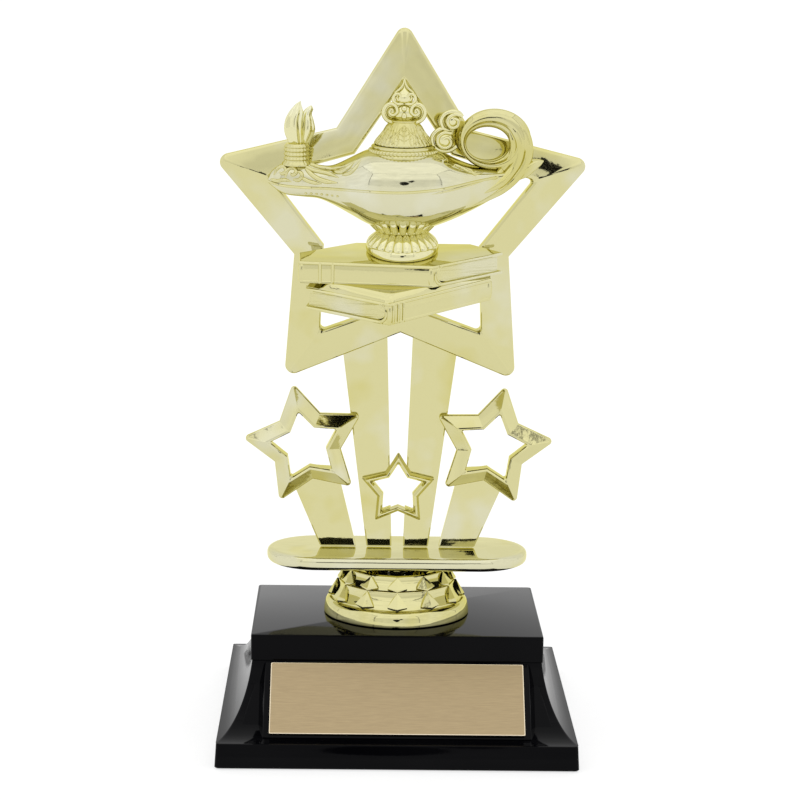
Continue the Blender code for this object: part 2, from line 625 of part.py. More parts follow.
def handle():
    rings = []
    steps = 32
    for i in range(steps):
        turn = 2 * math.pi * i / steps
        hole, rim = ellipse_point(LOOP_HOLE, turn), ellipse_point(LOOP_OUTER, turn)
        points = [(hole.lerp(rim, across), LAMP_Y + y) for across, y in LOOP_SECTION]
        rings.append([(p.x, y, p.y) for p, y in points])
    loop = node("handle_loop", leaned(loft(rings, closed=True)), "gold")
    tail = [(34.9, LAMP_Y, 173.0, 1.3), (34.8, LAMP_Y, 169.0, 1.6), (33.4, LAMP_Y - 0.8, 165.6, 1.6),
            (30.6, LAMP_Y - 2.2, 162.6, 1.5), (27.0, LAMP_Y - 4.4, 160.4, 1.3),
            (22.6, LAMP_Y - 6.6, 158.4, 0.9)]
    combine(loop, [leaned(tube(tail, 2))], "UNION")
    combine(loop, [lamp_half(TOP, GAP), lamp_half(UNDERSIDE, GAP)], "DIFFERENCE")
    leaf = [(37.0, 167.2, 0.8), (37.8, 167.4, 1.0), (38.9, 167.8, 0.7), (39.9, 168.1, 0.15)]
    node("handle_leaf", leaned(tube([(x, LAMP_Y, z, radius) for x, z, radius in leaf], 2)), "gold")
    upper = node("handle_scroll_upper", leaned(ball(13.4, LAMP_Y, 179.5, 2.6, 2.1, 2.6)), "gold")
    combine(upper, [leaned(ball(15.1, LAMP_Y, 178.7, 1.3, 1.6, 1.2, 12))], "UNION")
    lower = node("handle_scroll_lower", leaned(ball(11.3, LAMP_Y, 174.0, 2.8, 2.3, 2.8)), "gold")
    combine(lower, [leaned(ball(13.4, LAMP_Y, 171.9, 1.9, 2.0, 2.1, 12))], "UNION")
    combine(lower, [leaned(cylinder(10.4, 168.0, 173.4, 36, 0.0, LAMP_Y))], "DIFFERENCE")


base_shell()
base_inside()
nameplate()
riser()
oval_plate()
rays()
stars()
books()
lamp_body()
nozzle_and_flame()
finials()
handle()
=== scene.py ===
from functools import partial
from math import atan2, cos, pi, radians, sin

import bmesh
import bpy
import numpy as np
from mathutils import Matrix, Vector

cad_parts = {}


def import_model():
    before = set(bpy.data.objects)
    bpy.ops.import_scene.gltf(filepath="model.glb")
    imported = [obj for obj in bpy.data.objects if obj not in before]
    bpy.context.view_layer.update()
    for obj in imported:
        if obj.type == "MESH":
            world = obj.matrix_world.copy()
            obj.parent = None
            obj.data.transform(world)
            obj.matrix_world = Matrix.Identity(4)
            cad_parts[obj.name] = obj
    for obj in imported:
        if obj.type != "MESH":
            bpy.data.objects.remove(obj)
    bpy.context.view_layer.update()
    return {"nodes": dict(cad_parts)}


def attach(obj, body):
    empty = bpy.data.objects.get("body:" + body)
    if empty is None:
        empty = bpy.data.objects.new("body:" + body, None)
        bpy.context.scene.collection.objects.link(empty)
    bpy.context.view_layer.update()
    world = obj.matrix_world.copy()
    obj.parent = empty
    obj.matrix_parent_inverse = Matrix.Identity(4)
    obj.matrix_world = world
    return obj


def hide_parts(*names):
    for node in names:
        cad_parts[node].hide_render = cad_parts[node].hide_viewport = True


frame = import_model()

MM = 0.001

# Planes and slopes shared with the CAD, in millimetres
LAMP_Y = -12.0
RELIEF_BACK = -6.3
STAR_BACK = -1.5
MAIN_CREST = -6.0
BASE_TOP = 32.8
PLATE_BOTTOM = 48.2
BOOK_TOP = 142.3
BOOK_THICK = 6.2
BOOK_RAKE = 0.24
LOWER_BOOK_RAKE = 0.33
# How steeply level rings of the lamp fall towards the front, by height
LAMP_RAKE = np.array([(143.0, 0.24), (148.5, 0.02), (154.0, 0.03), (160.0, 0.09), (172.0, 0.06)])


# ------------ materials

def add_node(tree, kind, **settings):
    """A new node, with its properties and the values of its sockets set by name."""
    made = tree.nodes.new(kind)
    for key, value in settings.items():
        if hasattr(made, key):
            setattr(made, key, value)
        else:
            made.inputs[key.replace("_", " ")].default_value = value
    return made


class Shader:
    """A Principled material with short ways to add procedural detail."""

    def __init__(self, name, colour, roughness, metallic, **sockets):
        self.material = bpy.data.materials.new(name)
        self.material.use_nodes = True
        self.tree = self.material.node_tree
        self.bsdf = self.tree.nodes["Principled BSDF"]
        self.set("Base Color", (*colour, 1.0))
        self.set("Roughness", roughness)
        self.set("Metallic", metallic)
        for socket, value in sockets.items():
            self.set(socket.replace("_", " "), value)
        self.height = None

    def set(self, socket, value):
        self.bsdf.inputs[socket].default_value = value

    def add(self, kind, **settings):
        return add_node(self.tree, kind, **settings)

    def link(self, a, b):
        self.tree.links.new(a, b)

    def space(self, scale=(1.0, 1.0, 1.0)):
        place = self.add("ShaderNodeTexCoord")
        mapping = self.add("ShaderNodeMapping", Scale=scale)
        self.link(place.outputs["Object"], mapping.inputs["Vector"])
        return mapping.outputs["Vector"]

    def noise(self, scale, detail=2.0, space=None, roughness=0.5):
        made = self.add("ShaderNodeTexNoise", Scale=scale, Detail=detail, Roughness=roughness)
        self.link(space or self.space(), made.inputs["Vector"])
        return made.outputs["Fac"]

    def ramp(self, value, stops, socket):
        made = self.add("ShaderNodeValToRGB")
        elements = made.color_ramp.elements
        for element, (at, colour) in zip(elements, stops):
            element.position = at
            element.color = (*colour, 1.0)
        for at, colour in stops[2:]:
            elements.new(at).color = (*colour, 1.0)
        self.link(value, made.inputs["Fac"])
        self.link(made.outputs["Color"], self.bsdf.inputs[socket])

    def spread(self, value, low, high, socket, start=0.0, end=1.0):
        """Stretches start..end to low..high."""
        made = self.add("ShaderNodeMapRange", From_Min=start, From_Max=end, To_Min=low, To_Max=high)
        self.link(value, made.inputs["Value"])
        self.link(made.outputs["Result"], self.bsdf.inputs[socket])

    def bump(self, value, distance, strength=1.0):
        """Adds relief of this depth in metres on top of any already there."""
        made = self.add("ShaderNodeBump", Distance=distance, Strength=strength)
        self.link(value, made.inputs["Height"])
        if self.height is not None:
            self.link(self.height, made.inputs["Normal"])
        self.height = made.outputs["Normal"]
        self.link(self.height, self.bsdf.inputs["Normal"])


GOLD = (0.635, 0.60, 0.31)
GOLD_PALE = (0.655, 0.635, 0.43)
GOLD_DEEP = (0.60, 0.555, 0.22)
# The plating where it is deepest, as it mostly is, and where it is palest
GOLDS = (GOLD_DEEP, GOLD, GOLD_PALE)
# Painted light: a lighter, whiter copy of the same plating, for the lamp's bowl and shoulder and the oval
# plate, where they face the brightest light
PALE_PAINTED_LIGHT_GOLDS = (GOLD, GOLD_PALE, (0.69, 0.68, 0.52))
# Painted light: a lighter copy still, for the scrolls, finials, foot and flame, standing in for light lost
# between their curls
PAINTED_LIGHT_GOLDS = ((0.69, 0.655, 0.34), (0.74, 0.71, 0.42), (0.78, 0.765, 0.53))
MIRROR = 0.045  # the plating's roughness
# Painted highlight: a paler edge tint that whitens the oval plate's rim
FLAT_TINT = (0.95, 0.92, 0.64, 1.0)
EDGE_TINT = (0.91, 0.87, 0.44, 1.0)


def plated_gold(name, roughness=MIRROR, colours=GOLDS, tint=EDGE_TINT):
    """Lacquered plating: a slightly wavy mirror, yellower at its edges and where the lacquer is thick."""
    deep, plain, pale = colours
    gold = Shader(name, plain, roughness, 1.0, Specular_Tint=tint)
    stops = [(0.34, deep), (0.66, pale), (0.45, plain), (0.55, plain)]
    gold.ramp(gold.noise(42.0, 3.0), stops, "Base Color")
    gold.spread(gold.noise(160.0, 4.0), roughness * 0.6, roughness * 1.5, "Roughness")
    gold.bump(gold.noise(45.0, 1.0), 0.0004)
    gold.bump(gold.noise(170.0, 1.0), 0.00006)
    gold.bump(gold.noise(420.0, 2.0), 0.0000125)
    return gold


def page_gold():
    """Plating over the fine lines of the page edges."""
    pages = plated_gold("gold_pages", 0.16)
    lines = pages.noise(1.0, 3.0, pages.space((25.0, 25.0, 2400.0)))
    pages.bump(lines, 0.00035)
    return pages


def black_gloss():
    """Black plastic that gives back less and less light towards its outline."""
    black = Shader("black_gloss", (0.0015, 0.0015, 0.002), 0.05, 0.0, IOR=1.16)
    black.spread(black.noise(55.0, 6.0, roughness=0.65), 0.03, 0.10, "Roughness")
    stops = [(0.45, (0.001, 0.001, 0.0015)), (0.8, (0.0025, 0.0025, 0.003))]
    black.ramp(black.noise(18.0, 5.0), stops, "Base Color")
    black.bump(black.noise(30.0, 1.0), 0.00012)
    black.bump(black.noise(900.0, 2.0), 0.000004)
    grazing = black.add("ShaderNodeLayerWeight", Blend=0.5)
    black.spread(grazing.outputs["Facing"], 0.46, 0.02, "Specular IOR Level", 0.82, 0.97)
    return black


def brushed_plate():
    plate = Shader("brushed_plate", (0.41, 0.32, 0.186), 0.42, 1.0)
    grain = plate.noise(1.0, 6.0, plate.space((200.0, 3600.0, 3600.0)), 0.7)
    plate.ramp(grain, [(0.25, (0.345, 0.265, 0.154)), (0.75, (0.465, 0.362, 0.212))], "Base Color")
    plate.spread(grain, 0.34, 0.5, "Roughness")
    plate.bump(grain, 0.00002)
    plate.bump(plate.noise(70.0, 3.0), 0.00006)
    return plate


def grained(name, colour, roughness, metallic, scale, detail, depth):
    """One colour with a fine grain."""
    made = Shader(name, colour, roughness, metallic)
    made.bump(made.noise(scale, detail), depth)
    return made


def zinc():
    steel = Shader("zinc_steel", (0.55, 0.56, 0.58), 0.3, 1.0)
    steel.spread(steel.noise(700.0, 4.0), 0.22, 0.42, "Roughness")
    return steel


def threaded_zinc():
    steel = zinc()
    thread = steel.add("ShaderNodeTexWave", bands_direction="Z", wave_profile="TRI", Scale=400.0)
    steel.link(steel.space(), thread.inputs["Vector"])
    steel.bump(thread.outputs["Fac"], 0.0004)
    return steel


def felt():
    pile = Shader("felt", (0.018, 0.018, 0.02), 0.95, 0.0, Sheen_Weight=0.4)
    stops = [(0.3, (0.010, 0.010, 0.012)), (0.8, (0.04, 0.04, 0.045))]
    pile.ramp(pile.noise(2500.0, 6.0), stops, "Base Color")
    pile.bump(pile.noise(1800.0, 8.0, roughness=0.7), 0.0004)
    return pile


SHADERS = {
    "gold": plated_gold("gold"),
    # pale and flat are painted light: lighter copies of the one plating
    "pale": plated_gold("gold_pale_painted_light", 0.06, PALE_PAINTED_LIGHT_GOLDS),
    # bright is painted light: a lighter copy of the one plating for curled parts
    "bright": plated_gold("gold_bright_painted_light", MIRROR, PAINTED_LIGHT_GOLDS),
    "flat": plated_gold("gold_flat_painted_light", MIRROR, PALE_PAINTED_LIGHT_GOLDS, FLAT_TINT),
    "pages": page_gold(),
    "black": black_gloss(),
    "plate": brushed_plate(),
    "edge": grained("cut_edge", (0.85, 0.74, 0.55), 0.25, 1.0, 3000.0, 2.0, 0.00001),
    "zinc": zinc(),
    "thread": threaded_zinc(),
    "iron": grained("cast_iron", (0.10, 0.10, 0.10), 0.7, 0.9, 900.0, 8.0, 0.0003),
    "felt": felt(),
    "tape": grained("foam_tape", (0.8, 0.8, 0.76), 0.8, 0.0, 4000.0, 2.0, 0.00008),
}
FINISH = {key: shader.material for key, shader in SHADERS.items()}
SLOT = dict.fromkeys(("gold", "pale", "bright", "flat"), "gold_plated_plastic")
SLOT.update(pages="gold_page_texture", black="black_plastic", edge="brushed_brass")


# ------------ building

def placed(name, data):
    """A new object in the scene."""
    made = bpy.data.objects.new(name, data)
    bpy.context.scene.collection.objects.link(made)
    return made


def piece(name, parts, body, finish, replaces=(), sharp=35.0):
    """One mesh from (points, faces) parts in millimetres, riding on a CAD body."""
    points, faces = [], []
    for part_points, part_faces in parts:
        start = len(points)
        points += (np.asarray(part_points, float) * MM).tolist()
        faces += [[start + i for i in face] for face in part_faces]
    mesh = bpy.data.meshes.new(name)
    mesh.from_pydata(points, [], faces)
    bm = bmesh.new()
    bm.from_mesh(mesh)
    bmesh.ops.remove_doubles(bm, verts=bm.verts, dist=2e-7)
    bmesh.ops.recalc_face_normals(bm, faces=bm.faces)
    bm.to_mesh(mesh)
    bm.free()
    mesh.shade_smooth()
    mesh.set_sharp_from_angle(angle=radians(sharp))
    made = placed(name, mesh)
    mesh.materials.append(FINISH[finish])
    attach(made, body)
    if replaces:
        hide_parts(*replaces)
    return made


def skin(rings, closed=False, caps=True):
    """Points and faces over an array of rings, each with the same count of points."""
    rings = np.asarray(rings, float)
    rows, count = rings.shape[:2]
    faces = []
    for a in range(rows if closed else rows - 1):
        b = (a + 1) % rows
        for i in range(count):
            j = (i + 1) % count
            faces.append([a * count + i, a * count + j, b * count + j, b * count + i])
    if not closed and caps:
        faces.append(list(range(count)))
        faces.append([(rows - 1) * count + i for i in range(count)])
    return rings.reshape(-1, 3), faces


def raised(part, rise):
    """The part with each point raised by what rise makes of x, y and z."""
    points, faces = part
    points = np.array(points, float)
    points[:, 2] += rise(*points.T)
    return points, faces


def raked(part, slope, about):
    """The part with its level surfaces falling towards the front."""
    return raised(part, lambda x, y, z: slope * (y - about))


def tilted(part, tilt, start):
    """The part raised steadily to the right of start."""
    return raised(part, lambda x, y, z: tilt * np.clip(x - start, 0.0, None))


def leaned(part):
    """The part with the lamp's own fall towards the front, which changes with height."""
    return raised(part, lambda x, y, z: np.interp(z, *LAMP_RAKE.T) * (y - LAMP_Y))


def flattened(part, back):
    """The part pressed flat where it would pass behind the back plane."""
    points, faces = part
    points = np.array(points, float)
    points[:, 1] = np.minimum(points[:, 1], back)
    return points, faces


def curve(knots, samples):
    """A smooth line through rows of numbers, evenly sampled along its knots."""
    knots = np.asarray(knots, float)
    n = len(knots)
    slopes = np.zeros_like(knots)
    slopes[1:-1] = (knots[2:] - knots[:-2]) / 2
    slopes[0], slopes[-1] = knots[1] - knots[0], knots[-1] - knots[-2]
    at = np.linspace(0, n - 1, samples)
    i = np.minimum(at.astype(int), n - 2)
    t = (at - i)[:, None]
    return ((2 * t**3 - 3 * t**2 + 1) * knots[i] + (t**3 - 2 * t**2 + t) * slopes[i]
            + (3 * t**2 - 2 * t**3) * knots[i + 1] + (t**3 - t**2) * slopes[i + 1])


def full_turn(count):
    return np.linspace(0, 2 * pi, count, endpoint=False)


def level_ring(x, y, z, rx, ry, turn):
    return np.stack([x + rx * np.cos(turn), y + ry * np.sin(turn), np.full(len(turn), z)], 1)


def turned(profile, count, x=0.0, y=0.0, ripple=None, samples=None, closed=False):
    """A round body about a vertical line; ripple(turn, along) adds to the radius."""
    profile = curve(profile, samples) if samples else np.asarray(profile, float)
    turn = full_turn(count)
    rings = []
    for k, (radius, height) in enumerate(profile):
        along = k / (len(profile) - 1)
        r = radius + (ripple(turn, along) if ripple else 0.0)
        rings.append(level_ring(x, y, height, r, r, turn))
    return skin(rings, closed)


def tube(path, radii, count=10, flat=1.0):
    """A round rod along a path of (x, y, z) points; flat squeezes it along y."""
    path = np.asarray(path, float)
    radii = np.broadcast_to(radii, len(path))
    tangent = np.gradient(path, axis=0)
    tangent /= np.linalg.norm(tangent, axis=1)[:, None]
    side = np.cross(tangent, (0.0, 1.0, 0.0))
    side /= np.linalg.norm(side, axis=1)[:, None]
    up = np.cross(side, tangent)
    turn = full_turn(count)
    rings = [p + r * (np.outer(np.cos(turn), s) + flat * np.outer(np.sin(turn), u))
             for p, r, s, u in zip(path, radii, side, up)]
    return skin(rings)


def ball(x, y, z, rx, ry, rz, rows=14, count=24):
    """An ellipsoid with a small flat at its top and bottom."""
    polar = np.linspace(0.03, pi - 0.03, rows)
    turn = full_turn(count)
    rings = [level_ring(x, y, z - rz * cos(p), rx * sin(p), ry * sin(p), turn) for p in polar]
    return skin(rings)


# ------------ base

SLAB_HALF, SLAB_TOP, SLAB_DRAFT = 51.3, 7.4, 0.4
BLOCK_X, BLOCK_Y, BLOCK_BOTTOM, BLOCK_STEP = 42.1, 28.5, 25.2, 0.7
BLOCK_CORNER, BLOCK_ROUND = 0.9, 0.15
COVE_START, COVE_RINGS = radians(15.0), 36
# Half the side, corner radius and height: the slab's foot, the felt's recess and the way into the hollow
SLAB_FOOT = [(SLAB_HALF, 1.2, 0.6), (SLAB_HALF - 0.3, 1.0, 0.3), (48.6, 0.5, 0.3), (48.6, 0.5, 1.3),
             (46.0, 0.5, 1.3), (46.0, 0.5, 5.0)]
HOLLOW_TOP = [(39.0, 26.0, 0.5, 24.0), (38.5, 25.5, 0.5, 29.8)]
PAD_TOP, PAD_BOTTOM = np.array((-29.2, 25.1)), np.array((-46.9, 8.1))  # y and z
PAD_LENGTH = float(np.linalg.norm(PAD_BOTTOM - PAD_TOP))
PAD_HALF, PAD_FLARE, PAD_DEPTH = 37.7, 3.6, 6.5
NAMEPLATE_HALF, NAMEPLATE_HEIGHT = 36.2, 23.0
TAPE_FACE, NAMEPLATE_FACE = 0.45, 0.95  # how far the sheet's back and front stand off the pad


def heading(start, end):
    """The direction from one point to another in two dimensions, the one to its left, and how far."""
    step = np.subtract(end, start)
    length = float(np.linalg.norm(step))
    step = step / length
    return step, np.array((-step[1], step[0])), length


def rounded_rectangle(half_x, half_y, radius, z, steps=4):
    """A level outline with its corners rounded."""
    ring = []
    for sx, sy, first in ((1, -1, -90), (1, 1, 0), (-1, 1, 90), (-1, -1, 180)):
        for i in range(steps + 1):
            turn = radians(first + 90.0 * i / steps)
            ring.append((sx * (half_x - radius) + radius * cos(turn),
                         sy * (half_y - radius) + radius * sin(turn), z))
    return ring


def base():
    """The moulding from its top down the block, the cove and the slab, then up inside."""
    rings = []
    for inset, drop in ((0.45, 0.0), (0.2, 0.06), (0.06, 0.2), (0.0, 0.45)):
        rings.append((BLOCK_X - inset, BLOCK_Y - inset, BLOCK_CORNER, BASE_TOP - drop))
    rings.append((BLOCK_X, BLOCK_Y, BLOCK_CORNER, BLOCK_BOTTOM + BLOCK_ROUND))
    rings.append((BLOCK_X - BLOCK_ROUND, BLOCK_Y - BLOCK_ROUND, 0.8, BLOCK_BOTTOM))
    reach_x, reach_y = SLAB_HALF - BLOCK_X + BLOCK_STEP, SLAB_HALF - BLOCK_Y + BLOCK_STEP
    for i in range(COVE_RINGS):
        turn = COVE_START + (pi / 2 - COVE_START) * i / COVE_RINGS
        half_x, half_y = SLAB_HALF - reach_x * cos(turn), SLAB_HALF - reach_y * cos(turn)
        drop = (sin(turn) - sin(COVE_START)) / (1.0 - sin(COVE_START))
        rings.append((half_x, half_y, 0.6, BLOCK_BOTTOM - (BLOCK_BOTTOM - SLAB_TOP) * drop))
    edge = SLAB_HALF - SLAB_DRAFT
    for inset, drop in ((0.35, 0.0), (0.12, 0.05), (0.0, 0.3)):
        rings.append((edge - inset, edge - inset, 1.0, SLAB_TOP - drop))
    rings += [(half, half, radius, z) for half, radius, z in SLAB_FOOT]
    outlines = [rounded_rectangle(*ring) for ring in rings + HOLLOW_TOP]
    piece("base_moulding", [skin(outlines)], "base", "black", ["base_shell"], 30.0)


def on_pad(x, along, out):
    """A spot this far down the pad's slope and out from its face."""
    down, inwards, _ = heading(PAD_TOP, PAD_BOTTOM)
    return (x, *(PAD_TOP + down * along - inwards * out))


def pad_ring(half, inset, out, height=PAD_LENGTH, radius=0.3):
    """An outline on the pad, centred on its slope."""
    flat = rounded_rectangle(half, height / 2 - inset, radius, 0.0, 3)
    return [on_pad(x, PAD_LENGTH / 2 - y, out) for x, y, _ in flat]


def plaque():
    """The sloping pad and the sheet taped to it, brushed on its face and cut bright at its edge."""
    rings = [pad_ring(PAD_HALF + flare, inset, out) for flare, inset, out in
             ((PAD_FLARE, 0.0, -PAD_DEPTH), (0.25, 0.0, -0.35), (0.08, 0.08, -0.08), (-0.1, 0.25, 0.0))]
    piece("plaque_pad", [skin(rings)], "base", "black")
    face = NAMEPLATE_FACE
    edge = [(0.0, TAPE_FACE), (0.0, face - 0.2), (0.07, face - 0.05), (0.25, face)]
    rings = [pad_ring(NAMEPLATE_HALF - inset, inset, out, NAMEPLATE_HEIGHT, 0.35) for inset, out in edge]
    plate = piece("nameplate_sheet", [skin(rings)], "base", "edge", ["nameplate"], 20.0)
    plate.data.materials.append(FINISH["plate"])
    for polygon in plate.data.polygons:
        if polygon.area > (10.0 * MM) ** 2:
            polygon.material_index = 1


# ------------ riser and oval plate

# Each tier: its lip, the foot of its panel and its top, as (radius, height), and how proud its studs are
TIERS = [((19.7, 37.6), (19.4, 38.4), (17.4, 42.4), 0.85),
         ((17.1, 42.8), (16.8, 43.4), (15.2, 46.4), 0.75)]
HOLLOW = 0.55  # how deep a panel is scooped
PANEL_RADIUS = 13.0  # where the panels' corners are measured
STUDS = 12
STUD_WIDTH = 3.0


def stud(turn, lip, foot, top, proud):
    """A four-sided pyramid on the joint between two panels, widest near its lower end."""
    spread = STUD_WIDTH / foot[0]
    low_side = (foot[0] + 0.15, foot[1] + 0.3)

    def at(radius, height, swing=0.0):
        return (radius * cos(turn + swing), radius * sin(turn + swing), height)

    high = (top[0] + 0.3, top[1] + 0.2)
    corners = [((lip[0] + 0.45, lip[1]), 0.0), (low_side, spread), (high, 0.0), (low_side, -spread)]
    outer = [at(*place, swing) for place, swing in corners]
    inner = [at(place[0] - 2.5, place[1], swing) for place, swing in corners]
    points = inner + outer + [at(foot[0] + proud, foot[1] - 0.05)]
    sides = [[i, (i + 1) % 4, 4 + (i + 1) % 4, 4 + i] for i in range(4)]
    return points, sides + [[3, 2, 1, 0]] + [[4 + i, 4 + (i + 1) % 4, 8] for i in range(4)]


def riser():
    """A round foot under two tiers of concave panels, with a four-sided stud over each joint."""
    ring = [(4.0, 33.1), (21.35, 33.1), (21.5, 33.2), (21.5, 33.5), (21.4, 34.4), (21.27, 35.3), (21.1, 36.1),
            (20.8, 36.7), (20.4, 37.1), (19.9, 37.35), (19.2, 37.4), (17.4, 40.0), (4.0, 40.0)]
    panels = [(9.6, 44.8), (9.5, 40.0), (18.4, 37.9)]
    for lip, foot, top, _ in TIERS:
        panels += [(lip[0] - 1.4, lip[1] + 0.15), (lip[0] - 0.5, lip[1] - 0.15), lip]
        panels += [(lip[0] + 0.05, lip[1] + 0.2), foot]
        for share in (0.12, 0.3, 0.5, 0.7, 0.9):
            radius = foot[0] + (top[0] - foot[0]) * share - HOLLOW * sin(pi * share)
            panels.append((radius, foot[1] + (top[1] - foot[1]) * share))
        panels += [top, (top[0] - 0.1, top[1] + 0.2)]
    panels += [(14.3, 46.6), (13.4, 46.6), (13.0, 46.2), (12.8, 44.8)]
    half = pi / STUDS

    def flats(turn, _):
        """Draws the middle of each panel in, towards the straight line between its corners."""
        swing = np.mod(turn + pi / 2 + half, 2 * half) - half
        return PANEL_RADIUS * (cos(half) / np.cos(half - np.abs(swing)) - 1.0)

    rounds = [turned(ring, 180, closed=True), turned(panels, 240, ripple=flats, closed=True)]
    piece("riser_body", rounds, "base", "gold", ["riser"], 28.0)
    studs = [stud(radians(-90 + 360 * k / STUDS), *tier) for tier in TIERS for k in range(STUDS)]
    piece("riser_studs", studs, "base", "gold", [], 10.0)


OVAL_LENGTH, OVAL_DEPTH = 38.5, 15.0  # half of each


def oval_plate():
    edge = [(1.9, 0.0), (1.1, 0.12), (0.5, 0.45), (0.12, 1.0), (0.0, 1.7), (0.0, 2.5), (0.12, 3.1),
            (0.4, 3.55), (0.85, 3.85), (1.5, 3.98), (2.4, 4.0)]
    rings = []
    for inset, up in edge:
        depth = OVAL_DEPTH - inset
        rings.append(rounded_rectangle(OVAL_LENGTH - inset, depth, depth, PLATE_BOTTOM + up, 16))
    boss = turned([(9.2, 46.9), (9.2, PLATE_BOTTOM + 0.5)], 64)
    # The plate's lighter copy of the plating is painted light, and its paler edge tint a painted highlight
    piece("figure_plate", [skin(rings), boss], "figure", "flat", ["oval_plate"], 40.0)


# ------------ stars

MAIN_SLOPE, SIDE_SLOPE = 0.235, 0.87  # of the flat faces outside a star's crest
SIDE_STAR_X, SIDE_STAR_ROLL = 27.3, 12.0
TENTH = radians(36)


def star_ring(centre, tip, notch, round_tip, y, roll=0.0, slope=0.0, arc=17):
    """An outline; its rounded tips rise with the slope of the faces inside it, so each face stays flat."""
    cx, cz = centre
    slant = atan2(notch * sin(TENTH), tip - notch * cos(TENTH))
    hub = tip - round_tip / sin(slant)
    ring = []
    for k in range(5):
        axis = radians(90 + roll + 72 * k)
        for i in range(arc):
            off_axis = (pi / 2 - slant) * (2 * i / (arc - 1) - 1)
            turn = axis + off_axis
            inside = round_tip * (1.0 - cos(pi / 2 - slant - abs(off_axis)))
            ring.append((cx + hub * cos(axis) + round_tip * cos(turn), y - slope * inside,
                         cz + hub * sin(axis) + round_tip * sin(turn)))
        between = axis + TENTH
        ring.append((cx + notch * cos(between), y, cz + notch * sin(between)))
    return ring


def star(name, node, centre, steps, roll=0.0, sharp=18.0):
    """Steps round the section: tip, notch, rounding, y and, where a flat face starts or ends, its slope."""
    rings = [star_ring(centre, *step[:4], roll, *step[4:]) for step in steps]
    piece(name, [skin(rings, closed=True)], "figure", "gold", [node], sharp)


def stars():
    star("star_large", "main_star", (0.0, 149.8), [
        (56.6, 32.2, 2.2, STAR_BACK), (57.1, 32.5, 2.4, -1.65), (57.3, 32.6, 2.5, -2.1),
        (57.3, 32.6, 2.5, -3.9), (57.1, 32.5, 2.4, -4.3), (56.6, 32.2, 2.2, -4.6),
        (55.6, 31.6, 1.7, -4.78, MAIN_SLOPE), (42.2, 25.0, 0.7, -5.98, MAIN_SLOPE),
        (41.2, 24.5, 0.9, MAIN_CREST), (40.3, 24.0, 1.1, -5.85), (39.8, 23.7, 1.2, -5.4),
        (39.6, 23.6, 1.2, -4.8), (39.6, 23.6, 1.2, STAR_BACK)])
    side = [(18.3, 10.2, 0.9, STAR_BACK), (18.6, 10.35, 1.05, -1.65), (18.7, 10.4, 1.1, -2.0),
            (18.7, 10.4, 1.1, -2.8), (18.5, 10.3, 1.0, -3.15), (18.1, 10.1, 0.9, -3.4),
            (17.6, 9.85, 0.7, -3.55, SIDE_SLOPE), (12.0, 7.0, 0.3, -5.75, SIDE_SLOPE),
            (11.4, 6.7, 0.4, -5.8), (10.8, 6.35, 0.5, -5.65), (10.4, 6.1, 0.5, -5.3),
            (10.3, 6.0, 0.5, -4.8), (10.3, 6.0, 0.5, STAR_BACK)]
    for name, sign in (("left", -1), ("right", 1)):
        centre = (sign * SIDE_STAR_X, 83.4)
        star("star_" + name, "side_star_" + name, centre, side, -sign * SIDE_STAR_ROLL)
    star("star_small", "centre_star", (0.0, 70.0), [
        (11.2, 6.3, 0.35, STAR_BACK), (11.4, 6.4, 0.35, -1.8), (11.4, 6.4, 0.35, -2.4),
        (11.1, 6.25, 0.35, -2.8), (10.0, 5.7, 0.3, -3.7), (9.5, 5.45, 0.3, -3.9),
        (9.0, 5.2, 0.3, -3.75), (8.2, 4.75, 0.3, -2.9), (7.9, 4.55, 0.3, -2.5),
        (7.8, 4.5, 0.3, STAR_BACK)], sharp=16.0)


# ------------ books

# Plan outlines of the two books, the front edges first
UPPER_BOOK = [(-29.0, -21.9), (8.5, -24.5), (28.8, -12.9), (19.8, RELIEF_BACK), (-13.2, RELIEF_BACK),
              (-29.2, -14.6)]
LOWER_BOOK = [(-27.4, -20.6), (-3.6, -30.2), (25.4, -17.0), (24.0, RELIEF_BACK), (-22.0, RELIEF_BACK)]
LOWER_TOP = BOOK_TOP - BOOK_THICK + BOOK_RAKE * (RELIEF_BACK - LAMP_Y) - 0.3
BOARD, BOARD_EDGE = 0.95, 0.45  # thickness of a cover's boards and the rounding of their edges
LOWER_TILT = 0.045
SPINE_ROUND = 0.985  # how nearly the spine's roundness closes into a half circle
COVER_LIP = 0.12
BAND_WIDTH = 1.1


def inset_outline(outline, amounts):
    """A plan outline with each edge moved inwards by its own amount."""
    lines = []
    for start, end, amount in zip(outline, outline[1:] + outline[:1], amounts):
        step, inwards, _ = heading(start, end)
        lines.append((start + amount * inwards, step))
    result = []
    for (p, u), (q, v) in zip(lines[-1:] + lines[:-1], lines):
        result.append(p + np.linalg.solve(np.array([u, -v]).T, q - p)[0] * u)
    return result


def board_rings(outline, z0, z1, edge):
    """A flat board with rounded edges."""
    rings = []
    for k in range(5):
        turn = radians(90.0 * k / 4)
        rings.append((edge * (1 - sin(turn)), z0 + edge * (1 - cos(turn))))
    rings += [(inset, z0 + z1 - z) for inset, z in reversed(rings)]
    return [[(x, y, z) for x, y in inset_outline(outline, [inset] * len(outline))] for inset, z in rings]


def page_rim(outline, spine, middle, half):
    """The cover's edge seen round the ends of the pages, closed in a half circle by the spine."""
    corner = outline[1]
    far, side = (outline[2], 0.3) if spine == 0 else (outline[0], -0.3)
    step, inwards, length = heading(corner, far)
    radius = half - BOARD_EDGE
    line = [(length - 0.4, radius)]
    for turn in np.linspace(0, pi, 24):
        line.append((1.0 + radius - radius * sin(turn), radius * cos(turn)))
    line.append((length - 0.4, -radius))
    path = [(*(corner + step * at + inwards * side), middle + up) for at, up in curve(line, 90)]
    return tube(path, 0.46, 10)


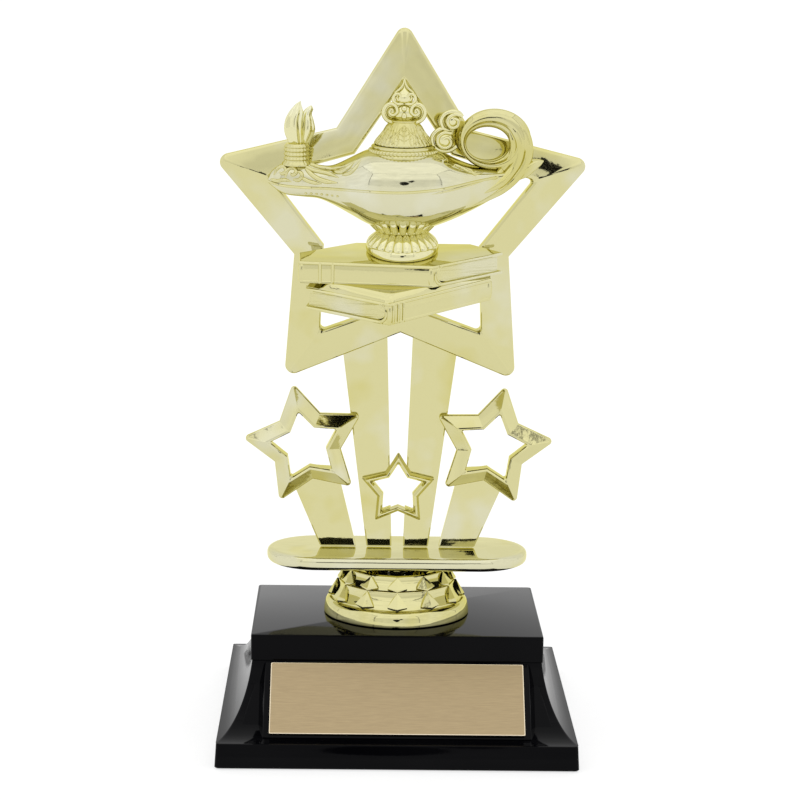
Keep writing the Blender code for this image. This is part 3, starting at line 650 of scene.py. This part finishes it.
def book(name, outline, spine, top, rake, tilt, bands):
    """A hard cover seen end on as a rounded U, with the pages set back inside it."""
    n = len(outline)
    bottom = top - BOOK_THICK
    a, b = np.array(outline[spine]), np.array(outline[spine + 1])
    step, inwards, length = heading(a, b)

    def settle(part):
        return tilted(raked(part, *rake), tilt, outline[1][0])

    def strip(height, near, far):
        """A ring at one height between two lines at these depths behind the spine's face."""
        ring = []
        for depth, order in ((near, (spine, spine + 1)), (far, (spine + 1, spine))):
            amounts = [COVER_LIP] * n
            amounts[spine] = depth
            corners = inset_outline(outline, amounts)
            ring += [(*corners[i], height) for i in order]
        return ring

    parts = [skin(board_rings(outline, z, z + BOARD, BOARD_EDGE)) for z in (bottom, top - BOARD)]
    heights = np.linspace(-1.0, 1.0, 17)
    middle, half = (top + bottom) / 2, BOOK_THICK / 2
    levels = middle + heights * (half - COVER_LIP)
    round_over = 1.0 - np.sqrt(1.0 - (SPINE_ROUND * heights) ** 2)
    hollow = 0.5 * round_over
    inside = 1.15 + 2.3 * round_over
    parts.append(skin([strip(*row) for row in zip(levels, hollow, inside)]))
    for at in bands:
        rings = []
        for share, lift in ((0.0, -0.25), (0.18, 0.3), (0.5, 0.5), (0.82, 0.3), (1.0, -0.25)):
            spot = a + step * (at + BAND_WIDTH * share)
            outer = [(*(spot + inwards * (out - lift)), z) for z, out in zip(levels, hollow)]
            rings.append(outer + [(*(spot + inwards * 0.9), z) for z in levels[::-1]])
        parts.append(skin(rings))
    edge_line = [(*(a + step * length * t + inwards * 0.42), top - 0.42) for t in np.linspace(0.0, 1.0, 20)]
    parts.append(tube(edge_line, 0.5, 12))
    for spot in (a + step * 0.5, b - step * 0.5):
        post = [(*(spot + inwards * (0.75 + out)), middle + 0.8 * h * (half - 0.3))
                for h, out in zip(heights, hollow)]
        parts.append(tube(post, 1.0, 14))
    parts.append(page_rim(outline, spine, middle, half))
    parts = [settle(part) for part in parts]
    piece(name + "_cover_fine", parts, "figure", "gold", [name + "_book_cover"], 30.0)

    rings = []
    for h, out in zip(heights, inside):
        amounts = [0.85] * n
        amounts[spine] = out + 0.35
        rings.append([(x, y, middle + h * (half - BOARD)) for x, y in inset_outline(outline, amounts)])
    piece(name + "_leaves", [settle(skin(rings))], "figure", "pages", [name + "_book_pages"], 30.0)


def book_slope():
    """The lower cover's top, swelling up to meet the edge of the upper book."""
    rows = []
    lower_front, upper_front = np.array(LOWER_BOOK[:3]).T, np.array(UPPER_BOOK[:3]).T
    for x in np.linspace(-27.2, 25.2, 44):
        front_y = np.interp(x, *lower_front) + 0.35
        back_y = np.interp(x, *upper_front) + 0.3
        swell = LOWER_TILT * max(0.0, x - LOWER_BOOK[1][0])
        front_z = LOWER_TOP + LOWER_BOOK_RAKE * (front_y - RELIEF_BACK) + swell
        back_z = BOOK_TOP - BOOK_THICK + BOOK_RAKE * (back_y - LAMP_Y) + 0.25
        reach = max(0.05, back_y - front_y)
        rise = min(max(0.0, back_z - front_z), 3.0 * reach)
        top = [(x, front_y + reach * t, front_z + rise * sin(t * pi / 2) ** 0.8)
               for t in np.linspace(0, 1, 7)]
        rows.append(top + [(x, back_y + 3.0, front_z + rise), (x, back_y + 3.0, front_z - 1.0),
                           (x, front_y, front_z - 0.7)])
    piece("lower_book_slope", [skin(rows)], "figure", "gold", [], 50.0)


def books():
    upper_rake, lower_rake = (BOOK_RAKE, LAMP_Y), (LOWER_BOOK_RAKE, RELIEF_BACK)
    book("upper", UPPER_BOOK, 0, BOOK_TOP, upper_rake, 0.0, (5.2, 8.8))
    book("lower", LOWER_BOOK, 1, LOWER_TOP, lower_rake, LOWER_TILT, (0.7, 2.3, 3.9))
    book_slope()


# ------------ lamp

# x, half depth, rim height, underside, top
STATIONS = np.array([
    (-38.4, 0.7, 161.8, 161.3, 162.6), (-37.4, 1.7, 161.5, 160.4, 164.4), (-35.4, 2.7, 161.1, 158.9, 166.0),
    (-32.8, 3.4, 160.8, 157.8, 167.2), (-28.0, 4.2, 160.6, 157.3, 167.4), (-24.0, 5.3, 160.7, 156.9, 166.3),
    (-20.0, 7.2, 160.9, 155.3, 166.2), (-15.0, 10.1, 161.1, 152.6, 168.4), (-10.0, 12.3, 161.2, 149.9, 170.8),
    (-5.0, 13.5, 161.2, 148.2, 171.4), (0.0, 14.0, 161.3, 147.8, 171.5), (5.0, 13.6, 161.6, 148.1, 171.4),
    (10.0, 12.5, 162.0, 149.7, 170.8), (15.0, 10.6, 162.7, 151.7, 168.4), (20.0, 8.0, 163.5, 154.2, 166.6),
    (25.0, 5.4, 164.1, 157.1, 165.9), (29.0, 3.2, 164.5, 160.2, 165.6), (31.9, 1.4, 164.4, 162.7, 165.2)])
# The column of STATIONS where each surface ends, and how full it is
BOWL, SHOULDER = (3, 0.95), (4, 0.68)
LEAN = 0.19  # a point rises by this much a millimetre forward to keep its place in the front view


def lamp_piece(name, parts, replaces=(), finish="gold", sharp=60.0):
    piece(name, [leaned(part) for part in parts], "figure", finish, replaces, sharp)


def lathed(profile, count, ripple=None, samples=None, x=0.0):
    """A round body in the lamp's middle plane."""
    return turned(profile, count, x, LAMP_Y, ripple, samples)


def half_section(station, surface, lift, count=44):
    x, half, rim = station[:3]
    column, fullness = surface
    turn = np.linspace(0, pi, count)
    y = np.minimum(LAMP_Y - half * np.cos(turn), RELIEF_BACK)
    level = rim + lift
    z = level + (station[column] - level) * np.sin(turn) ** fullness
    return np.stack([np.full(count, x), y, z], 1)


def on_body(x, z, surface):
    """Depth of the lamp's front surface at a height, before it leans."""
    column, fullness = surface
    half, rim, far = (np.interp(x, STATIONS[:, 0], STATIONS[:, k]) for k in (1, 2, column))
    share = np.clip((z - rim) / (far - rim), 0.0, 0.9999) ** (1 / fullness)
    return LAMP_Y - half * np.sqrt(1 - share**2)


def seen_on_body(knots, surface, samples=24):
    """A line given as it looks from the front, laid on the lamp's surface."""
    path = []
    for x, seen in curve(knots, samples):
        z = seen
        for _ in range(6):
            z = seen + LEAN * (LAMP_Y - on_body(x, z, surface))
        path.append((x, on_body(x, z, surface), z))
    return path


def taper(samples, thick, start=0.35, end=0.2):
    """Radii that swell in the middle of a line and thin out at its ends."""
    t = np.linspace(0, 1, samples)
    return thick * np.clip(np.minimum(start + 4 * t, end + 3 * (1 - t)), 0.0, 1.0)


def body():
    fine = curve(STATIONS, 120)
    for name, surface, lift in (("bowl", BOWL, -0.1), ("shoulder", SHOULDER, 0.1)):
        shell = skin([half_section(station, surface, lift) for station in fine])
        # The pale copy of the plating on the bowl and shoulder is painted light
        lamp_piece(f"lamp_{name}_fine", [shell], ["lamp_" + name], "pale", 50.0)
    rim = [(x, LAMP_Y - half - 0.05, z) for x, half, z, _, _ in fine[1:108]]
    second = seen_on_body([(6.0, 158.0), (12.0, 159.2), (18.0, 160.9), (24.5, 162.9)], BOWL, 30)
    lamp_piece("lamp_rim_line", [tube(rim, 0.36, 8), tube(second, taper(30, 0.28, 0.0), 8)], sharp=35.0)


# Leaves swept along the spout and the rear of the lamp, as seen from the front, each with its thickness
RELIEF_LINES = [
    ([(-28.4, 166.2), (-25.6, 164.7), (-21.5, 163.9), (-18.3, 162.7)], 0.45),
    ([(-28.0, 165.4), (-25.1, 162.9), (-22.3, 161.7), (-18.6, 161.2)], 0.5),
    ([(-28.8, 162.6), (-26.4, 161.5), (-23.1, 160.9)], 0.4),
    ([(-27.4, 167.4), (-24.5, 165.8), (-20.0, 165.3), (-16.4, 165.9)], 0.45),
    ([(-20.5, 164.9), (-18.0, 164.2), (-15.8, 165.2), (-13.9, 167.2)], 0.5),
    ([(-17.3, 163.4), (-15.2, 163.9), (-13.6, 165.3), (-11.8, 167.9)], 0.4),
    ([(-36.6, 163.2), (-35.4, 165.3), (-33.6, 165.6), (-33.2, 164.2), (-34.4, 163.6), (-35.0, 164.2)], 0.42),
    ([(-33.4, 162.6), (-32.6, 164.9), (-30.9, 165.4), (-30.3, 164.0), (-31.4, 163.3), (-31.9, 164.0)], 0.42),
    ([(-31.2, 162.0), (-29.6, 161.9), (-28.6, 163.2), (-29.5, 164.3), (-30.4, 163.6)], 0.4),
    ([(-37.6, 162.1), (-35.8, 161.6), (-33.6, 161.9), (-31.6, 161.4)], 0.4),
    ([(13.6, 167.6), (16.0, 166.0), (19.2, 165.4), (22.5, 165.6)], 0.4),
    ([(15.4, 166.9), (17.2, 165.4), (18.9, 164.6), (20.4, 164.9), (19.6, 165.8)], 0.35)]
BEAD_HEIGHT = 158.9


def body_relief():
    relief = [tube(seen_on_body(knots, SHOULDER), 1.35 * taper(24, thick), 8)
              for knots, thick in RELIEF_LINES]
    for k in range(7):
        x = -27.5 + 1.5 * k
        y = on_body(x, BEAD_HEIGHT, BOWL) + 0.1
        relief.append(ball(x, y, BEAD_HEIGHT, 0.42, 0.42, 0.32, 8, 12))
    lamp_piece("lamp_leaf_relief", relief)


def flutes(count, depth, first=0.0, last=1.0):
    """Rounded ribs round a turned piece, fading out past the ends of their stretch."""
    def ripple(turn, along):
        fade = min(1.0, max(0.0, (along - first) * 10)) * min(1.0, max(0.0, (last - along) * 10))
        return depth * fade * (np.abs(np.cos(turn * count / 2)) ** 0.7 - 0.55)
    return ripple


def beads_on(count, depth):
    """A row of beads round a turned piece."""
    def ripple(turn, along):
        return depth * (0.5 + 0.5 * np.cos(turn * count)) * sin(pi * along)
    return ripple


BACK_STEP = 0.012  # between the flat backs of parts of one piece


def lamp_turned(name, parts, replaces, finish="gold"):
    """Each part is pressed flat a little in front of the last, so that no two backs coincide."""
    pressed = [flattened(leaned(part), RELIEF_BACK - BACK_STEP * (i + 1)) for i, part in enumerate(parts)]
    piece(name, pressed, "figure", finish, replaces, 45.0)


RIBS = 20


def foot():
    low = BOOK_TOP
    base_ring = lathed([(9.4, low), (10.0, low + 0.15), (10.3, low + 0.6), (10.35, low + 1.3),
                        (10.15, low + 2.0), (9.7, low + 2.3)], 120, None, 20)
    flare = lathed([(9.7, low + 1.9), (9.9, low + 2.3), (9.6, low + 3.0), (8.9, low + 3.8), (8.0, low + 4.6),
                    (7.2, low + 5.2), (6.6, low + 5.6)], 352, flutes(22, 0.75, 0.03, 1.02), 44)
    ring = lathed([(6.2, 147.6), (6.75, 147.75), (6.95, 148.2), (6.75, 148.65), (6.2, 148.8)], 96, None, 14)
    parts = [base_ring, flare, ring]
    rib = curve([(6.5, 148.4), (7.4, 149.1), (8.5, 150.2), (9.2, 151.2)], 10)
    for k in range(RIBS):
        turn = 2 * pi * k / RIBS
        path = [(r * sin(turn), LAMP_Y - r * cos(turn), z) for r, z in rib]
        if path[0][1] < LAMP_Y + 2.0:
            parts.append(tube(path, 1.15 * taper(10, 1.0, 0.8, 0.9), 12))
    # The bright copy of the plating on the foot is painted light
    lamp_turned("foot_fluted", parts, ["lamp_foot"], "bright")


LID_PROFILE = curve([(8.35, 172.7), (8.3, 173.1), (7.6, 174.0), (6.6, 175.2), (5.7, 176.4), (4.9, 177.6),
                     (4.3, 178.6), (4.0, 179.1)], 40)
LEAF_TURN = 51.4  # degrees from one leaf to the next


def on_lid(turn, z):
    radius = np.interp(z, LID_PROFILE[:, 1], LID_PROFILE[:, 0])
    return (radius * sin(turn), LAMP_Y - radius * cos(turn), z)


def lid_leaf(turn, half_turn, low, high, thick):
    """One pointed leaf: its outline, a middle rib and three pairs of veins."""
    lines = []
    for side in (-1, 1):
        lines.append(([(side * 0.75, 0.0), (side * 1.0, 0.35), (side * 0.55, 0.72), (0.0, 1.0)], thick))
        for k in range(3):
            start = 0.18 + 0.24 * k
            vein = [(0.0, start), (side * 0.35, start + 0.1), (side * (0.72 - 0.16 * k), start + 0.12)]
            lines.append((vein, thick * 0.6))
    lines.append(([(0.0, 0.05), (0.0, 0.5), (0.0, 0.9)], thick * 0.8))
    made = []
    for knots, radius in lines:
        path = [on_lid(turn + swing * half_turn, low + (high - low) * up) for swing, up in curve(knots, 14)]
        made.append(tube(path, taper(14, radius, 0.6, 0.4), 6))
    return made


def lid():
    band = lathed([(9.7, 169.2), (9.95, 169.7), (9.7, 170.3), (9.2, 170.9), (9.0, 171.5)], 80, None, 14)
    beads = lathed([(9.3, 170.2), (9.65, 170.5), (9.65, 171.1), (9.3, 171.5)], 432, beads_on(54, 0.35), 16)
    lip = lathed([(9.0, 171.4), (9.2, 171.7), (9.15, 172.1), (8.8, 172.4), (8.2, 172.6)], 96, None, 14)
    lamp_turned("band_beaded", [band, beads, lip], ["lid_band"])
    dome = lathed(LID_PROFILE, 360, flutes(36, 0.16, 0.0, 0.8))
    neck = lathed([(3.7, 178.8), (4.15, 178.95), (4.2, 179.35), (3.7, 179.6)], 60, None, 12)
    parts = [dome, neck]
    for k in range(-3, 4):
        turn = radians(LEAF_TURN * k)
        parts += lid_leaf(turn, radians(25.0), 173.3, 178.3, 0.24)
        parts += lid_leaf(turn + radians(LEAF_TURN / 2), radians(14.0), 173.2, 176.6, 0.2)
    lamp_turned("lid_leafed", parts, ["lamp_lid"])


def flat_line(knots, forward, thick, samples=40, mirror=1):
    """A rod through (x, z) knots this far in front of the lamp's middle; thick is its radius at each end."""
    path = [(mirror * x, LAMP_Y - forward - 0.6 * sin(pi * k / (samples - 1)), z)
            for k, (x, z) in enumerate(curve(knots, samples))]
    return tube(path, np.linspace(*thick, samples), 10)


SWIRL = [(0.3, 178.9), (2.8, 178.8), (4.9, 179.6), (5.9, 181.5), (5.2, 183.4), (3.7, 184.1), (2.3, 183.3),
         (2.0, 181.8), (3.1, 180.9), (4.2, 181.6), (3.7, 182.6)]
CURL = [(0.3, 184.1), (2.1, 184.1), (3.1, 185.2), (2.8, 186.5), (1.6, 186.9), (0.9, 185.8), (1.6, 185.1),
        (2.1, 185.7)]
OGEE = [(2.9, 186.1), (2.2, 187.3), (1.1, 188.4), (0.35, 189.5), (0.1, 190.6)]


def finials():
    low = [ball(0.0, LAMP_Y, 181.3, 3.4, 2.3, 2.9), ball(0.0, LAMP_Y - 2.3, 182.8, 0.85, 0.8, 0.85, 10, 16),
           ball(0.0, LAMP_Y - 2.0, 180.6, 0.8, 0.8, 1.2, 10, 16)]
    high = [lathed([(1.8, 184.0), (2.4, 184.8), (2.6, 185.8), (2.2, 187.0), (1.3, 188.1), (0.6, 189.1),
                    (0.35, 190.2), (0.05, 191.1)], 40, None, 30)]
    for side in (-1, 1):
        low.append(ball(side * 3.7, LAMP_Y + 0.2, 181.6, 2.2, 1.9, 2.5))
        low.append(flat_line(SWIRL, 1.6, (0.62, 0.45), 60, side))
        high.append(flat_line(CURL, 1.5, (0.5, 0.35), 44, side))
        high.append(flat_line(OGEE, 0.6, (0.45, 0.2), 20, side))
    # The bright copy of the plating on the finials is painted light
    lamp_piece("finial_scrolls_low", low, ["finial_lower"], "bright")
    lamp_piece("finial_scrolls_high", high, ["finial_upper"], "bright")


NOZZLE_X = -30.3
# Each lick of flame: the knots of its two edges as (left x, left z, right x, right z), its ridges, how
# they twist, and how far it is set back
FLAMES = [
    ([(-32.6, 172.4, -28.9, 172.4), (-33.8, 175.8, -28.9, 175.8), (-33.6, 178.8, -29.0, 178.8),
      (-32.4, 181.4, -28.7, 181.2), (-30.7, 183.6, -29.2, 183.0), (-29.4, 184.3, -29.2, 184.3)], 5, 1.6, 0.0),
    ([(-29.3, 172.6, -27.0, 172.6), (-29.4, 175.6, -25.4, 176.0), (-29.0, 178.6, -25.7, 178.8),
      (-28.7, 180.6, -26.2, 180.6), (-27.9, 182.0, -25.8, 182.0), (-26.6, 183.0, -26.1, 183.0)],
     4, -1.2, 0.3)]


def tongue(edges, ridges, twist, back, rows=44):
    """A lick of flame between its edges, widest across the front."""
    turn = full_turn(60)
    slices = []
    for k, row in enumerate(curve(edges, rows)):
        left, right = row[:2], row[2:]
        x, z = (left + right) / 2
        half = max(0.06, np.linalg.norm(right - left) / 2)
        shape = half * (1 + 0.12 * np.cos(ridges * turn + twist * k / rows))
        slices.append(level_ring(x, LAMP_Y + back, z, shape, 0.85 * shape, turn))
    return skin(slices)


def nozzle_and_flame():
    rings = lathed([(4.2, 166.4), (4.0, 166.9), (3.5, 167.4), (3.35, 167.8), (3.55, 168.2), (3.2, 168.8),
                    (3.55, 169.4), (3.2, 170.0), (3.55, 170.6), (3.25, 171.2), (3.45, 171.6), (3.0, 172.4)],
                   160, flutes(18, 0.16), 90, NOZZLE_X)
    lamp_piece("nozzle_ringed", [rings], ["wick_nozzle"], sharp=45.0)
    # The flame's bright copy of the plating is painted light
    lamp_piece("flame_tongues", [tongue(*flame) for flame in FLAMES], ["flame"], "bright", 50.0)


# Ellipses: middle x and z, half width, half height
LOOP_OUTER, LOOP_HOLE = (25.9, 174.4, 10.6, 9.0), (23.8, 173.1, 6.1, 4.7)
OVER_BOWL = (31.0, 165.0)  # left of this x and below this z a strand lies on the bowl
# The handle's strands: knots as (x, z), thickness, and how far in front of the lamp's middle
STRANDS = [
    ([(29.4, 181.0), (33.4, 177.6), (35.3, 172.7), (34.9, 168.3), (32.9, 164.9), (29.9, 161.8), (26.0, 159.3),
      (21.4, 156.9), (16.5, 154.9)], 1.4, 1.2),
    ([(27.5, 180.4), (31.4, 176.8), (33.0, 172.7), (32.3, 168.3), (30.2, 165.1), (27.5, 162.6), (24.3, 160.9),
      (20.5, 159.4)], 1.45, 1.6),
    ([(29.6, 177.4), (31.0, 173.5), (30.6, 169.9), (28.6, 166.6), (26.0, 164.2), (22.6, 162.4)], 1.0, 1.7)]


# The two scrolls: middle, size, and the (x, z) knots of a curl round each and an eye inside it
SCROLLS = [
    ("upper", 13.5, 179.4, 2.5,
     [(16.4, 180.6), (15.4, 181.7), (13.7, 182.1), (11.6, 181.4), (10.5, 179.6), (11.0, 177.6),
      (12.4, 176.4)],
     [(15.9, 181.0), (14.2, 181.3), (12.6, 180.3), (12.4, 178.6), (13.6, 177.5), (15.1, 178.1), (15.3, 179.5),
      (14.2, 180.1), (13.6, 179.3)]),
    ("lower", 11.5, 173.9, 2.9,
     [(12.8, 176.6), (10.9, 177.2), (8.9, 176.2), (7.9, 174.4), (8.5, 172.2), (10.6, 171.0), (13.0, 171.0),
      (15.0, 172.2)],
     [(13.4, 175.9), (11.5, 176.1), (9.8, 175.0), (9.6, 173.2), (10.9, 171.9), (12.7, 172.1), (13.4, 173.5),
      (12.4, 174.7), (11.2, 174.2), (11.5, 173.4)])]


def ellipse(shape, turn):
    x, z, half_x, half_z = shape
    return np.array((x + half_x * cos(turn), z + half_z * sin(turn)))


def handle():
    share = np.linspace(0, 1, 25)
    front = -1.0 - 1.6 * np.sin(share * pi) ** 0.6 + 0.55 * np.exp(-(((share - 0.3) / 0.05) ** 2))
    back = 2.6 * np.sin(share * pi) ** 0.5
    rings = []
    for turn in full_turn(120):
        hole, rim = ellipse(LOOP_HOLE, turn), ellipse(LOOP_OUTER, turn)
        spots = hole + (rim - hole) * 0.93 * share[:, None]
        forward = np.stack([spots[:, 0], LAMP_Y + front, spots[:, 1]], 1)
        behind = np.stack([spots[:, 0], LAMP_Y + back, spots[:, 1]], 1)[::-1]
        rings.append(np.concatenate([forward, behind[1:-1]]))
    strands = [skin(rings, closed=True)]
    for knots, thick, forward in STRANDS:
        path = []
        for x, z in curve(knots, 90):
            y = LAMP_Y - forward
            if x < OVER_BOWL[0] and z < OVER_BOWL[1]:
                y = min(y, on_body(x, z, BOWL) + 0.5)
            path.append((x, y, z))
        path = np.array(path)
        path[:, 1] = np.convolve(np.pad(path[:, 1], 6, mode="edge"), np.ones(13) / 13, "valid")
        strands.append(tube(path, taper(90, thick, 0.4, 0.12), 16, 0.8))
    lamp_piece("handle_strands", strands, ["handle_loop"])

    leaf = curve([(32.6, 164.0, 1.2), (34.6, 165.4, 1.6), (36.6, 167.0, 1.5), (38.6, 167.9, 0.9),
                  (39.9, 168.3, 0.08)], 30)
    turn = full_turn(24)
    waves = 1.3 * np.sin(turn) * (1 + 0.2 * np.cos(3 * turn))
    slices = [np.stack([x + 0.5 * r * np.cos(turn), LAMP_Y + r * waves, z - r * np.cos(turn)], 1)
              for x, z, r in leaf]
    lamp_piece("handle_leaf_fine", [skin(slices)], ["handle_leaf"])
    for name, x, z, size, curl, eye in SCROLLS:
        parts = [ball(x, LAMP_Y, z, size, 1.8, size), flat_line(curl, 0.8, (0.62, 0.62), 50),
                 flat_line(eye, 1.2, (0.6, 0.4), 60)]
        # The scrolls' bright copy of the plating is painted light
        lamp_piece(f"scroll_{name}_fine", parts, ["handle_scroll_" + name], "bright")


# ------------ kept CAD nodes

KEPT = {
    "felt": ["bottom_felt"],
    "iron": ["ballast_weight"],
    "tape": ["nameplate_tape"],
    "thread": ["threaded_rod"],
    "zinc": ["captive_nut", "base_nut", "rod_washer"],
    "gold": ["centre_ray_left", "centre_ray_right", "outer_ray_left", "outer_ray_right"],
}


def kept_nodes():
    for finish, names in KEPT.items():
        for name in names:
            materials = frame["nodes"][name].data.materials
            materials.clear()
            materials.append(FINISH[finish])


# ------------ studio

SIDE_WALL, BACK_WALL = 0.727, 0.236  # how far the tent's walls stand, against the front one at 1
CEILING = 1.05
UNEVEN = 0.35  # how much the folds of the cloth change its brightness
FRONT_LEVEL, SIDE_LEVEL, CEILING_LEVEL = 0.93, 1.08, 1.22
FRONT_TOP_LEVEL, FRONT_TOP_START, FRONT_TOP_RISE = 1.2, 0.28, 5.0
# Half width and darkness of the seams at the front corners, the back corners and the ceiling
FRONT_SEAM, BACK_SEAM, CEILING_SEAM = (0.014, 0.8), (0.03, 0.9), (0.01, 0.8)
DARKEST = 0.985
# Place on the front wall, size and raggedness of its two dark discs: the lens and an opening
LENS, OPENING = ((0.0, 0.15), 0.10, 0.0), ((0.142, 0.262), 0.060, 0.05)


def world():
    """A white light tent: walls and ceiling of slightly different brightness, with thin dark seams."""
    made = bpy.data.worlds.new("tent")
    bpy.context.scene.world = made
    made.use_nodes = True
    tree = made.node_tree
    tree.nodes.clear()

    def maths(operation, *values):
        new = add_node(tree, "ShaderNodeMath", operation=operation)
        for socket, value in zip(new.inputs, values):
            if isinstance(value, (int, float)):
                socket.default_value = value
            else:
                tree.links.new(value, socket)
        return new.outputs[0]

    operations = ("ADD", "SUBTRACT", "MULTIPLY", "DIVIDE", "MAXIMUM", "LESS_THAN", "GREATER_THAN")
    plus, minus, times, ratio, larger, less, more = (partial(maths, kind) for kind in operations)
    direction = add_node(tree, "ShaderNodeTexCoord").outputs["Generated"]

    def noise(scale, detail):
        new = add_node(tree, "ShaderNodeTexNoise", Scale=scale, Detail=detail)
        tree.links.new(direction, new.inputs["Vector"])
        return minus(new.outputs["Fac"], 0.5)

    split = add_node(tree, "ShaderNodeSeparateXYZ")
    tree.links.new(direction, split.inputs[0])
    x, y, z = split.outputs
    front, side, back = times(y, -1.0), ratio(maths("ABSOLUTE", x), SIDE_WALL), ratio(y, BACK_WALL)
    wall = larger(larger(front, side), larger(back, 0.001))
    across, height = ratio(x, wall), ratio(z, wall)
    is_front, is_side = more(front, times(wall, 0.999)), more(side, times(wall, 0.999))
    is_ceiling = more(height, CEILING)

    def seam(a, b, width, darkness):
        return times(less(maths("ABSOLUTE", minus(a, b)), width), darkness)

    def disc(spot, size, ragged):
        """A dark disc on the front wall."""
        dx, dz = minus(across, spot[0]), minus(height, spot[1])
        away = maths("SQRT", plus(times(dx, dx), times(dz, dz)))
        return times(less(plus(away, times(noise(60.0, 3.0), ragged)), size), is_front)

    corners = larger(seam(front, side, *FRONT_SEAM), seam(side, back, *BACK_SEAM))
    dark = times(corners, minus(1.0, is_ceiling))
    for mark in (seam(height, CEILING, *CEILING_SEAM), disc(*LENS), disc(*OPENING)):
        dark = larger(dark, mark)
    higher = maths("MINIMUM", larger(times(minus(height, FRONT_TOP_START), FRONT_TOP_RISE), 0.0), 1.0)
    front_level = plus(FRONT_LEVEL - 1.0, times(higher, FRONT_TOP_LEVEL - FRONT_LEVEL))
    level = plus(1.0, times(is_front, front_level))
    level = plus(level, times(is_side, SIDE_LEVEL - 1.0))
    level = plus(level, times(is_ceiling, minus(CEILING_LEVEL, level)))
    level = times(level, minus(1.0, times(dark, DARKEST)))
    background = add_node(tree, "ShaderNodeBackground", Color=(1.0, 1.0, 1.0, 1.0))
    folds = plus(1.0, times(noise(7.0, 2.0), UNEVEN))
    tree.links.new(times(level, folds), background.inputs["Strength"])
    tree.links.new(background.outputs[0], add_node(tree, "ShaderNodeOutputWorld").inputs[0])


FLOOR_COLOUR, FLOOR_GLOW = (0.30, 0.30, 0.30), 0.68  # a sheet lit a little from below, so shadows stay faint
FLOOR_REACH = 40.0


def floor():
    mesh = bpy.data.meshes.new("floor")
    corners = [(x * FLOOR_REACH, y * FLOOR_REACH, 0) for x, y in ((-1, -1), (1, -1), (1, 1), (-1, 1))]
    mesh.from_pydata(corners, [], [(0, 1, 2, 3)])
    paper = grained("floor_paper", FLOOR_COLOUR, 0.9, 0.0, 900.0, 4.0, 0.00005)
    paper.set("Emission Strength", FLOOR_GLOW)
    paper.set("Emission Color", (1.0, 1.0, 1.0, 1.0))
    mesh.materials.append(paper.material)
    placed("floor", mesh)


LIGHT_PLACE, LIGHT_AIM = Vector((0.0, -0.1, 1.5)), Vector((0.0, 0.0, 0.1))
LIGHT_SIZE, LIGHT_POWER = (1.2, 1.0), 4.0


def overhead():
    """A soft light from above that the mirror finishes don't show."""
    data = bpy.data.lights.new("overhead", "AREA")
    data.shape = "RECTANGLE"
    data.size, data.size_y = LIGHT_SIZE
    data.energy = LIGHT_POWER
    made = placed("overhead", data)
    made.location = LIGHT_PLACE
    made.rotation_euler = (LIGHT_AIM - LIGHT_PLACE).to_track_quat("-Z", "Y").to_euler()
    made.visible_glossy = False


CAMERA_PLACE = (-0.01265, -0.731, 0.232)
CAMERA_TURN, CAMERA_DIP, CAMERA_ROLL = (radians(a) for a in (1.01, 10.50, 0.83))
FOCAL_PX, IMAGE_PX, SENSOR_MM = 2532.0, 800.0, 36.0


def camera():
    pose = Matrix.Translation(CAMERA_PLACE)
    for angle, axis in ((-CAMERA_TURN, "Z"), (pi / 2 - CAMERA_DIP, "X"), (CAMERA_ROLL, "Z")):
        pose = pose @ Matrix.Rotation(angle, 4, axis)
    data = bpy.data.cameras.new("camera")
    data.sensor_width = SENSOR_MM
    data.lens = FOCAL_PX / IMAGE_PX * SENSOR_MM
    data.clip_start = 0.01
    made = placed("camera", data)
    made.matrix_world = pose
    bpy.context.scene.camera = made


base()
plaque()
riser()
oval_plate()
stars()
books()
body()
body_relief()
foot()
lid()
finials()
nozzle_and_flame()
handle()
kept_nodes()
bpy.context.scene.view_settings.view_transform = "Standard"
world()
floor()
overhead()
camera()
